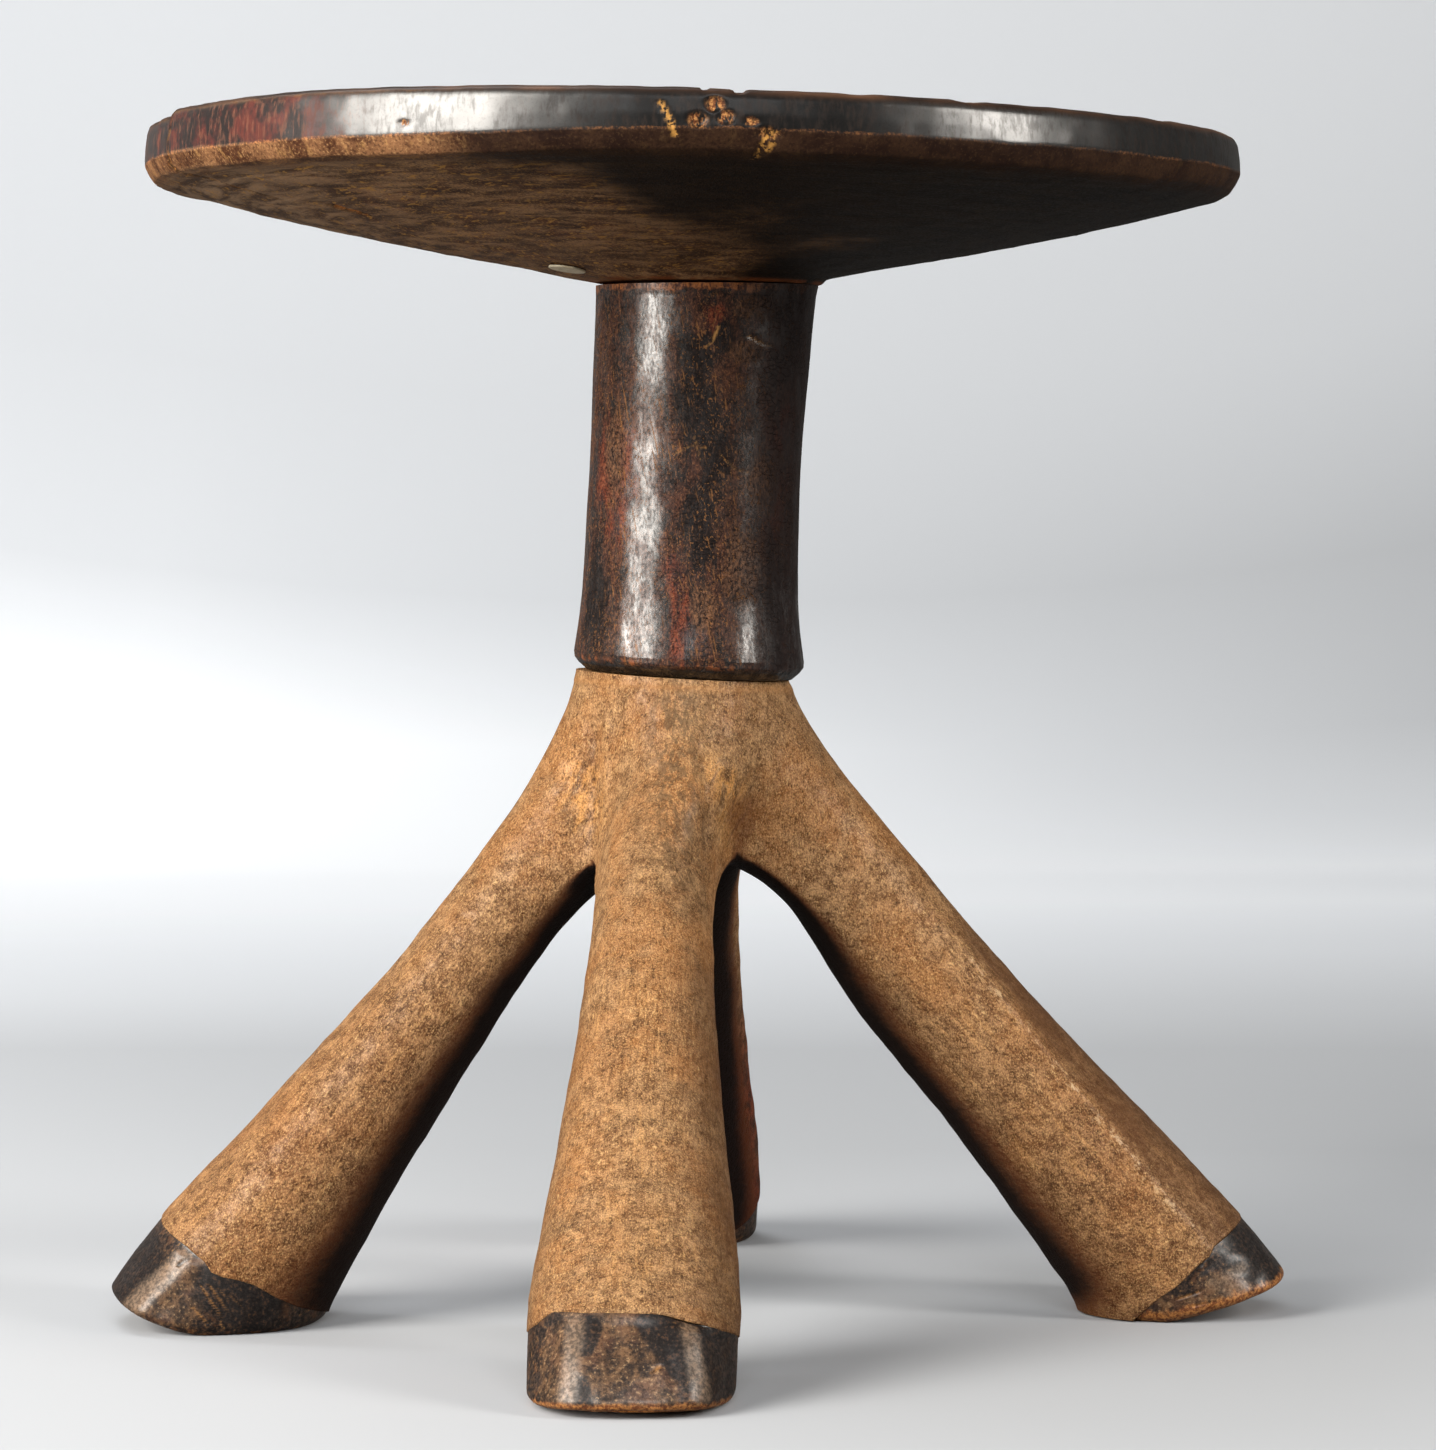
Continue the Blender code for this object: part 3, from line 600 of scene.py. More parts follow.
column_height = column_height - (1 - up) * radius * np.cos(turn) * np.tan(FRAME_TOP_TILT)
column_grid = np.stack([
    shift + radius * np.cos(turn), radius * np.sin(turn) + 0 * shift, column_height], -1)
outside = surface_normals(column_grid)
side_share = smooth_step(up, 0.02, 0.045) * smooth_step(-up, -0.995, -0.97)
shaving = tool_cuts(column_grid, np.array((11, 11, 42)) * MM, 51)
relief = MM * side_share * (
    SHAVING_DEPTH * (shaving - 0.45)
    + BROAD_UNEVENNESS * soft_noise(column_grid, np.array((5, 5, 14)) * MM, 52)
    + FINE_UNEVENNESS * soft_noise(column_grid, 2.2 * MM, 53))
foot_walk = column_grid * (1, 1, 0)
ragged = soft_noise(foot_walk, 3.5 * MM, 54) + soft_noise(foot_walk, 9 * MM, 55)
rim_band = np.exp(-((up - 0.03) / 0.014) ** 2)
relief += FOOT_RAGGEDNESS * rim_band * ragged


def column_spot(azimuth, at_height, wide, tall):
    """How near a place is to a spot on the column: a bell over millimetres round it and up it."""
    across = turn_from(turn, azimuth) * radius / MM
    rise = column_height / MM - at_height
    return np.exp(-(across / wide) ** 2 - (rise / tall) ** 2)


# Where handling has worn the polish: azimuth, height, half width, half height
WORN = [(-60.9, 205.3, 8, 14), (-83.5, 194.7, 5, 9), (-51.5, 229.5, 7, 9), (-65.3, 264.4, 8, 5),
        (-62.0, 275.5, 9, 5), (-140.0, 236.0, 6, 18), (60.0, 220.0, 12, 20), (130.0, 250.0, 9, 16)]
worn = np.max([column_spot(*place) for place in WORN], axis=0)
# Where red wood shows through the polish
REDS = [(-132.0, 240.0, 6, 9), (-127.0, 232.0, 4, 10), (-136.0, 220.0, 7, 12), (-150.0, 232.0, 6, 16),
        (-34.0, 244.0, 5, 14), (-38.0, 222.0, 5, 12), (-95.0, 190.0, 5, 16), (-84.0, 272.0, 5, 6),
        (-98.0, 203.0, 4, 9), (20.0, 230.0, 8, 24), (100.0, 200.0, 9, 18), (170.0, 250.0, 8, 22)]
red = np.max([column_spot(*place) for place in REDS], axis=0)
# Near-black patches
BLACKS = [(-92.0, 262.0, 6, 10), (-88.0, 247.0, 7, 12), (-80.0, 236.0, 6, 10), (-36.0, 268.0, 6, 14),
          (-84.0, 220.0, 6, 14), (-150.0, 196.0, 7, 14), (-40.0, 196.0, 4, 16), (-98.0, 266.0, 3, 4),
          (-79.0, 268.0, 3, 5), (80.0, 240.0, 9, 20), (0.0, 200.0, 7, 22)]
black = np.max([column_spot(*place) for place in BLACKS], axis=0)
# Pale scratches: azimuth and height at each end, half width
NICKS = [
    (-82.5, 270.6, -83.4, 268.6, 0.3), (-83.4, 268.6, -85.2, 266.4, 0.28),
    (-85.2, 266.4, -88.5, 264.9, 0.1), (-65.4, 268.2, -58.0, 266.4, 0.24),
    (-58.0, 266.4, -51.3, 265.6, 0.16), (-101.0, 236.5, -93.0, 238.6, 0.04),
    (-93.0, 238.6, -84.0, 238.2, 0.06), (-91.0, 241.0, -87.0, 235.0, 0.02),
    (-76.0, 236.0, -68.0, 232.5, 0.06), (-68.0, 232.5, -60.0, 231.5, 0.03),
    (-128.0, 263.0, -122.0, 259.5, 0.02)]


def column_point(azimuth, at_height):
    """A place on the column's skin from its azimuth and height."""
    share = (at_height * MM - COLUMN_BOTTOM) / (COLUMN_TOP - COLUMN_BOTTOM)
    at_radius = np.interp(share, *COLUMN_SECTION.T) * MM
    angle = np.radians(azimuth)
    at_shift = column_shift(share)
    return np.array((at_shift + at_radius * np.cos(angle), at_radius * np.sin(angle), at_height * MM))


nicked = np.zeros(column_grid.shape[:2])
for from_turn, from_height, to_turn, to_height, wide in NICKS:
    start, end = column_point(from_turn, from_height), column_point(to_turn, to_height)
    off = line_distance(column_grid, start, end)
    depth = min(1.0, 0.3 + 2.6 * wide)
    nicked = np.maximum(nicked, depth * smooth_step(-off, -(wide + 0.28) * MM, -wide * 0.5 * MM))
relief -= NICK_DEPTH * nicked * side_share
relief -= WORN_DEPTH * worn * side_share
column_grid = column_grid + outside * relief[..., None]
uneven = soft_noise(column_grid, 5 * MM, 56) + 0.6 * soft_noise(column_grid, 1.7 * MM, 57)
top_glow = smooth_step(up + 0.009 * uneven, 0.968, 0.988)
foot_rim = smooth_step(-up, -0.046, -0.03) * smooth_step(up, 0.012, 0.03) + 0 * turn
undercut = smooth_step(-up, -0.03, -0.018) + 0 * turn
column_wood = carved_mesh(
    "column_wood", column_grid, np.array((COLUMN_FOOT_SHIFT, 0, COLUMN_BOTTOM)),
    np.array((COLUMN_TOP_SHIFT, 0, COLUMN_TOP)),
    {"worn": worn, "red": red, "black": black, "nick": nicked, "top": top_glow, "rim": foot_rim,
     "undercut": undercut})
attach(column_wood, "root")
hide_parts("column")


def broken(share, noise, low, high, most=1.0):
    """A feature's share with its edges broken up by a noise."""
    return ease(share + noise, low, high, 0, most)


def column_finish():
    """Dark red-brown polish in upright streaks, black and red patches under it, duller where
    hands have worn it, and fine pale scratches all over."""
    wood = Finish("handled_column_wood", 0.6, 0.15)
    place = wood.place
    streaks = grain(place, 300, 5, 0.68, (1, 1, 0.3), 0.3)
    clouds = grain(place, 80, 4, 0.64, (1, 1, 0.55), 0.3)
    patches = grain(place, 190, 4, 0.66, (1, 1, 0.6))
    fine = grain(place, 1250, 2, 0.65, (1, 1, 0.5))
    worn, red, black = (wood.feature(name) for name in ("worn", "red", "black"))
    # Base, red wood, black patches and wear
    colour = mottled(streaks, 0.4, 0.62, (19, 11, 9), (74, 43, 31))
    colour = flecked(colour, clouds, 0.5, 0.62, 0.5, (96, 58, 38))
    across = part(place, 0)
    shaded = ease(across + clouds * 0.02, 0.012, 0.032, 0, 0.92)
    red_share = broken(red * 0.62, patches, 0.76, 1.05, 0.75)
    red_colour = mottled(streaks, 0.4, 0.62, (66, 27, 20), (132, 62, 38))
    colour = tint(red_share, colour, red_colour)
    black_share = broken(black * 0.6, patches, 0.66, 0.95, 0.92)
    colour = tint(black_share, colour, (22, 15, 14))
    worn_share = broken(worn * 0.7, clouds, 0.8, 1.05, 0.85)
    worn_colour = mottled(fine, 0.35, 0.65, (70, 47, 36), (116, 84, 62))
    colour = tint(worn_share, colour, worn_colour)
    # Fine grain, and black laid over it again
    finest = grain(place, 2300, 2, 0.7, (1, 1, 0.6))
    colour = flecked(colour, fine, 0.56, 0.7, 0.4, (150, 98, 62))
    colour = flecked(colour, fine, 0.46, 0.34, 0.8, (14, 9, 8))
    colour = flecked(colour, finest, 0.56, 0.68, 0.35, (158, 108, 72))
    colour = flecked(colour, finest, 0.5, 0.38, 0.7, (14, 9, 8))
    colour = tint(black_share * 0.85, colour, (20, 13, 12))
    # Hairline scratches three ways, nicks, and the foot's chipped rim
    hair = ease(grain(place, 1500, 1, 0.5, (1, 0.06, 1), 0, (0.5, 0.6, 0.4)), 0.64, 0.72)
    cross = ease(grain(place, 1400, 1, 0.5, (1, 1, 0.06), 0, (-0.7, 0.2, 0.9)), 0.64, 0.72)
    steep = ease(grain(place, 1600, 1, 0.5, (1, 1, 0.04), 0, (0.12, 0.2, 0)), 0.64, 0.72)
    hairs = (hair + cross + steep) * ease(clouds, 0.4, 0.56)
    colour = tint(hairs * 0.4, colour, (178, 122, 72))
    nicked = wood.feature("nick") * ease(fine, 0.36, 0.56)
    colour = tint(nicked * 0.8, colour, (210, 154, 86))
    chips = ease(grain(place, 420, 3, 0.6, (1, 1, 0.7)), 0.52, 0.6)
    rim = wood.feature("rim") * chips * ease(clouds, 0.42, 0.56, 0.1, 0.8)
    colour = tint(rim, colour, (150, 84, 44))
    # The rough line under the seat, and painted shade: at the right, and over the blackened undercut
    top = broken(wood.feature("top") * 0.7, clouds, 0.98, 1.25, 0.85)
    top_colour = mottled(fine, 0.4, 0.6, (78, 40, 24), (178, 108, 54))
    colour = tint(top, colour, top_colour)
    colour = tint(shaded, colour, (26, 14, 12))
    colour = tint(wood.feature("undercut"), colour, (16, 10, 8))
    wood.give("Base Color", colour)
    # Polish and relief
    bright = ease(streaks + patches * 0.8, 0.74, 1.02, 1.0, 0.35) * ease(fine, 0.36, 0.56, 0.45, 1.0)
    dull = worn_share * 0.8 + hairs * 0.6
    rubbed = ease(across, 0.006, 0.02, 0, 0.7) * ease(part(place, 2), 0.193, 0.208)
    bright = bright * (1 - rubbed)
    wood.polish(bright * (1 - dull), 0.25, 1.95)
    squat = shade(wood.tree, "Mapping", {"Vector": place, "Scale": (0.7, 0.7, 1.2)})
    crazing = shade(wood.tree, "TexVoronoi", {"Vector": squat, "Scale": 520}, "Distance",
                    feature="DISTANCE_TO_EDGE")
    cracks = ease(crazing, 0.1, 0.0) * ease(patches, 0.42, 0.56)
    height = streaks * 0.3 + fine * 0.25 + 0.3 - (cracks * 0.3 + hairs * 0.25)
    wood.roughen(height, 0.7 * MM)
    return wood.material


column_wood.data.materials.append(column_finish())

# Crown
# The neck and the roots of the four legs, one swelling mass of the same block. It is left
# unpolished: light brown wood with dark pores, scooped out between the legs by a gouge.

FRAME_HEIGHT = 176.0 * MM
NECK_RADIUS = 28.2 * MM
CROWN_TOP_SHIFT = -3.2 * MM
CROWN_LEAN = np.radians(4)
LEG_REACH = 163.0 * MM
HEEL_REACH = 104.0 * MM
LEG_ROOT_WIDTH = 33.0 * MM
FOOT_WIDTH = 54.0 * MM
HOOF_HEIGHT = 27.0 * MM
CAGE_SIZE_SHARE = 6 / (4 + 2 * np.cos(np.pi / 4))
VAULT_HEIGHT_SHARE = 0.735
CROWN_LEVELS = 4
FACET_DEPTH, SWELL_DEPTH, CROWN_UNEVENNESS = 0.28, 0.30, 0.10
LIP_HEIGHT, LIP_WIDTH, LIP_LEVEL, LIP_SLOPE = 0.25 * MM, 0.8 * MM, 173.6 * MM, 0.05
CROWN_MIDDLE = (0, 0, 0.14)
CROWN_SOOT_AND_SHADE_SHIFT = -0.06

# Each leg: name, where its line passes the axis, the way it points in degrees, shares of reach,
# heel and width, the rise of its underside, the height of the valley after it, the toe's lift and
# its length, and where the hoof's edge meets shin and heel
Leg = collections.namedtuple(
    "Leg", "name root azimuth reach heel width rise valley lift lift_length edge")
LEGS = [
    Leg("front", (-0.29, 0.0), -92.8, 0.995, 1.0, 0.985, 0.0, 0.735, 0.23, 1.0, (0.90, 0.26)),
    Leg("right", (0.0, -0.04), 2.5, 1.013, 1.035, 0.96, -0.052, 0.75, 1.16, 1.44, (1.01, -0.69)),
    Leg("back", (-0.02, 0.0), 92.0, 1.0, 1.12, 0.90, 0.0, 0.715, 0.62, 1.0, (0.98, 0.0)),
    Leg("left", (0.0, -0.1), 185.0, 0.985, 0.98, 1.0, 0.055, 0.715, 1.0, 1.0, (1.08, 0.0))]
# Stations down a leg: reach and height of its outer and inner lines, width, corner, share of rise
STATIONS = {
    "root": (0.417, 0.653, 0.384, 0.540, 0.600, 1.05, 1.00),
    "thigh": (0.552, 0.509, 0.594, 0.373, 0.712, 1.07, 0.50),
    "shin": (0.691, 0.369, 0.774, 0.216, 0.835, 1.09, 0.35),
    "ankle": (0.804, 0.259, 0.904, 0.091, 0.960, 1.11, 0.15),
    "coronet": (0.902, 0.162, 0.972, 0.031, 1.000, 1.13, 0.00),
    "hoof": (0.972, 0.085, 1.000, -0.017, 0.985, 1.15, 0.00),
    "toe": (1.018, 0.017, 1.028, -0.080, 0.960, 1.17, 0.00),
    "below": (1.049, -0.057, 1.058, -0.142, 0.930, 1.17, 0.00)}
CROWN_RINGS = [(1.085, 1.0, 1.0, 1.0), (0.985, 1.03, 1.03, 1.02), (0.900, 1.39, 1.22, 1.07),
               (0.835, 1.67, 1.40, 1.02)]


def leg_axes(leg):
    """The way a leg points over the floor, and the way across it."""
    turn = np.radians(leg.azimuth)
    out = np.array((np.cos(turn), np.sin(turn), 0))
    return out, np.array((-out[1], out[0], 0))


def leg_point(leg, reach, across, height):
    out, side = leg_axes(leg)
    root = NECK_RADIUS * np.array((*leg.root, 0))
    return root + out * reach + side * across + np.array((0, 0, height))


def shin_point(leg, station):
    reach, height = STATIONS[station][0:2]
    return leg_point(leg, LEG_REACH * leg.reach * reach, 0, FRAME_HEIGHT * height)


def underside_point(leg, station):
    reach, height = STATIONS[station][2:4]
    height += leg.rise * STATIONS[station][6]
    return leg_point(leg, HEEL_REACH * leg.heel * reach, 0, FRAME_HEIGHT * height)


def station_ring(leg, station):
    """Eight points on an ellipse between the leg's outer and inner lines, pushed out at the two
    corners beside the shin."""
    width, corner = STATIONS[station][4:6]
    shin, underside = shin_point(leg, station), underside_point(leg, station)
    depth = (shin - underside) / 2 * CAGE_SIZE_SHARE
    across = leg_axes(leg)[1] * FOOT_WIDTH * leg.width * width / 2 * CAGE_SIZE_SHARE
    turns = (np.arange(8) * np.pi / 4)[:, None]
    spread = np.where(np.isin(np.arange(8), (1, 7)), corner, 1)[:, None]
    return (shin + underside) / 2 + (depth * np.cos(turns) + across * np.sin(turns)) * spread


def crown_ring(height, along_leg, on_slope, in_valley):
    """Sixteen points round the neck at one height: a leg, a slope, a valley and a slope, by turns."""
    starts = np.radians([leg.azimuth for leg in LEGS])
    steps = (np.roll(starts, -1) - starts) % (2 * np.pi) / 4
    turns = (starts[:, None] + steps[:, None] * np.arange(4)).ravel()
    reach = NECK_RADIUS * np.tile((along_leg, on_slope, in_valley, on_slope), 4)
    shift = CROWN_TOP_SHIFT + FRAME_HEIGHT * (1 - height) * np.tan(CROWN_LEAN)
    level = np.full(16, FRAME_HEIGHT * height)
    return np.stack([shift + reach * np.cos(turns), reach * np.sin(turns), level], 1)


def root_point(leg, reach, across, height, hand=1):
    return leg_point(leg, LEG_REACH * reach, hand * LEG_ROOT_WIDTH * across, FRAME_HEIGHT * height)


def valley_point(leg, following):
    """Where the near flanks of two legs would cross, at the height of the valley between them."""
    (out_a, side_a), (out_b, side_b) = leg_axes(leg), leg_axes(following)
    start_a = NECK_RADIUS * np.array((*leg.root, 0)) + side_a * LEG_ROOT_WIDTH / 2
    start_b = NECK_RADIUS * np.array((*following.root, 0)) - side_b * LEG_ROOT_WIDTH / 2
    along = np.linalg.solve(np.stack([out_a[:2], -out_b[:2]], 1), (start_b - start_a)[:2])[0]
    place = start_a + out_a * along
    place[2] = FRAME_HEIGHT * leg.valley
    return place


valleys = np.array([valley_point(leg, LEGS[(i + 1) % 4]) for i, leg in enumerate(LEGS)])
root_ring = np.concatenate([
    (root_point(leg, 0.335, 0, 0.790), root_point(leg, 0.270, 0.42, 0.765), valleys[i],
     root_point(LEGS[(i + 1) % 4], 0.270, 0.42, 0.765, -1)) for i, leg in enumerate(LEGS)])
undersides = np.array([
    (root_point(leg, 0.150, 0.33, 0.685), root_point(leg, 0.170, 0, 0.655),
     root_point(leg, 0.150, 0.33, 0.685, -1)) for leg in LEGS])
vault_point = np.array((*valleys[:, :2].mean(axis=0), FRAME_HEIGHT * VAULT_HEIGHT_SHARE))


def root_loop(i):
    """The eight points of a leg's first loop: three on the crown's edge, a valley, three below
    and the other valley, as places in the list of all cage points."""
    start, lower = 64 + 4 * i, 81 + 3 * i
    before = 64 + (4 * i - 2) % 16
    return np.array([
        start, start + 1, start + 2, lower, lower + 1, lower + 2, before, 64 + (4 * i - 1) % 16])


def crown_cage():
    """Five rings of sixteen, the vault's middle, three points under each leg's root, and each
    leg's first two stations; quads join them, and the stations' faces carry a second mark."""
    rings = np.concatenate([crown_ring(*shares) for shares in CROWN_RINGS] + [root_ring])
    stations = [station_ring(leg, station) for leg in LEGS for station in ("root", "thigh")]
    points = np.concatenate([rings, [vault_point], undersides.reshape(-1, 3), *stations])
    here = np.arange(80).reshape(5, 16)
    beside = np.roll(here, -1, axis=1)
    faces = [np.stack([here[:-1], beside[:-1], beside[1:], here[1:]], -1).reshape(-1, 4)]
    marks = [np.zeros(64)]
    for i in range(4):
        loop = root_loop(i)
        faces.append([(80, loop[4], loop[3], loop[2]), (80, loop[6], loop[5], loop[4])])
        first = 93 + 16 * i + np.arange(8)
        for upper, lower, mark in ((loop, first, 0), (first, first + 8, 1)):
            faces.append(np.stack([upper, np.roll(upper, -1), np.roll(lower, -1), lower], -1))
            marks.append(np.full(8, mark))
        marks.insert(-2, np.zeros(2))
    return points, np.concatenate(faces).tolist() + [list(range(16))], np.concatenate(marks)


def carving(points):
    """Height that the gouge and hand leave on bare wood, the same for crown and legs so that it
    runs on from one to the other: broad swells, shallow facets and fine unevenness."""
    facets = tool_cuts(points, 11 * MM, 61)
    return MM * (
        SWELL_DEPTH * soft_noise(points, 15 * MM, 62) + FACET_DEPTH * (facets - 0.45)
        + CROWN_UNEVENNESS * soft_noise(points, 4 * MM, 63))


# The gouge's marks on crown and legs: half width, height, and the points in millimetres of the
# line that each follows. The edge is the front leg's crisp left one, and beside lies next to it.
CROWN_MARKS = {
    "scoop": (6.2, -0.9, [(-31.5, -18, 148.5), (-29.5, -20.5, 140)]),
    "hollow": (7.0, -0.6, [(8.5, -36, 149), (13, -31, 138)]),
    "crease": (1.5, -0.6, [(4.0, -42.6, 137.5), (4.4, -43.2, 134.5)]),
    "groove": (2.2, -0.7, [(3.2, -36, 158), (4.0, -41.5, 146), (4.6, -43.2, 130)]),
    "edge": (2.0, 0.7, [(-22.4, -20.5, 163), (-23.0, -22.5, 148.5), (-23.9, -27.3, 132.6),
                        (-24.8, -33.3, 120)]),
    "beside": (2.6, -0.8, [(-26.8, -18.5, 160), (-27.6, -20.0, 148.5), (-28.4, -24.5, 134)]),
    "spine": (9.0, 0.0, [(-4, -31, 168), (-5, -40, 152), (-6, -47, 134), (-8, -55, 118)])}


def crown_marks(points):
    """A bell round each mark's line; returns the marks' height and the shares the finish reads."""
    near = {name: np.exp(-(path_distance(points / MM, path) / wide) ** 2)
            for name, (wide, _, path) in CROWN_MARKS.items()}
    height = MM * sum(rise * near[name] for name, (_, rise, _) in CROWN_MARKS.items())
    shares = {name: near[name] for name in ("scoop", "hollow", "edge", "spine")}
    # The crease, and the strip beside the front leg's edge, take painted shade
    shares["crease"] = np.maximum(near["crease"], 0.55 * near["beside"])
    return height, shares


def soot_and_shade(normals, shift):
    """Share of smoke stain and painted shade: full where the wood faces down, none where it
    faces up. The shift moves the line between."""
    return smooth_step(-normals[..., 2] + shift, 0.02, 0.62)


def smoothed_cage():
    """The cage rounded by subdivision, with the marks of its faces kept as material places."""
    points, faces, marks = crown_cage()
    cage = bpy.data.meshes.new("crown_cage")
    cage.from_pydata(points.tolist(), [], faces)
    marks = np.concatenate([marks, [0]]).astype(np.int32)
    cage.polygons.foreach_set("material_index", marks)
    guide = bpy.data.objects.new("crown_guide", cage)
    bpy.context.scene.collection.objects.link(guide)
    guide.data.materials.append(None)
    guide.data.materials.append(None)
    rounding = guide.modifiers.new("rounding", "SUBSURF")
    rounding.levels = rounding.render_levels = CROWN_LEVELS
    bpy.context.view_layer.update()
    smoothed = guide.evaluated_get(bpy.context.evaluated_depsgraph_get())
    mesh = bpy.data.meshes.new_from_object(smoothed)
    bpy.data.objects.remove(guide)
    return mesh


def carve_crown(mesh):
    """Moves the points along their normals by what the gouge left, and stores what the finish
    reads. The neck's top stays as it is, under the column."""
    flat = np.empty(len(mesh.vertices) * 3, np.float32)
    mesh.vertices.foreach_get("co", flat)
    places = flat.reshape(-1, 3).astype(float)
    mesh.vertex_normals.foreach_get("vector", flat)
    normals = flat.reshape(-1, 3).astype(float)
    if np.einsum("ij,ij->", normals, places - CROWN_MIDDLE) < 0:
        normals = -normals
    height, shares = crown_marks(places)
    height = height + carving(places)
    neck = smooth_step(-places[:, 2], -0.1755, -0.1700)
    lip = np.exp(-((places[:, 2] - LIP_LEVEL + LIP_SLOPE * places[:, 0]) / LIP_WIDTH) ** 2)
    height = height * neck + LIP_HEIGHT * lip
    write_feature(mesh, "soot_and_shade", soot_and_shade(normals, CROWN_SOOT_AND_SHADE_SHIFT)[:, None])
    for name, values in shares.items():
        write_feature(mesh, name, values[:, None])
    write_feature(mesh, "lip", lip[:, None])
    write_feature(mesh, "wrap", places)
    carved = places + normals * height[:, None]
    mesh.vertices.foreach_set("co", (carved + AXIS_PLACE).astype(np.float32).ravel())


def close_crown(mesh):
    """Drops the stations beyond the roots, cuts the neck along the column's foot, and closes every
    opening with a fan."""
    shape = bmesh.new()
    shape.from_mesh(mesh)
    stubs = [face for face in shape.faces if face.material_index == 1]
    bmesh.ops.delete(shape, geom=stubs, context="FACES")
    top = Vector((COLUMN_FOOT_SHIFT + AXIS_PLACE[0], 0, FRAME_HEIGHT))
    upward = Vector((np.sin(FRAME_TOP_TILT), 0, np.cos(FRAME_TOP_TILT)))
    everything = [*shape.verts, *shape.edges, *shape.faces]
    bmesh.ops.bisect_plane(shape, geom=everything, plane_co=top, plane_no=upward, clear_outer=True)
    openings = [edge for edge in shape.edges if edge.is_boundary]
    lids = bmesh.ops.edgeloop_fill(shape, edges=openings)["faces"]
    bmesh.ops.poke(shape, faces=lids)
    bmesh.ops.recalc_face_normals(shape, faces=shape.faces)
    shape.to_mesh(mesh)
    shape.free()
    mesh.name = "crown_wood"
    mesh.materials.clear()


crown_mesh = smoothed_cage()
carve_crown(crown_mesh)
close_crown(crown_mesh)
crown_wood = finish_piece("crown_wood", crown_mesh)
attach(crown_wood, "root")
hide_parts("crown")


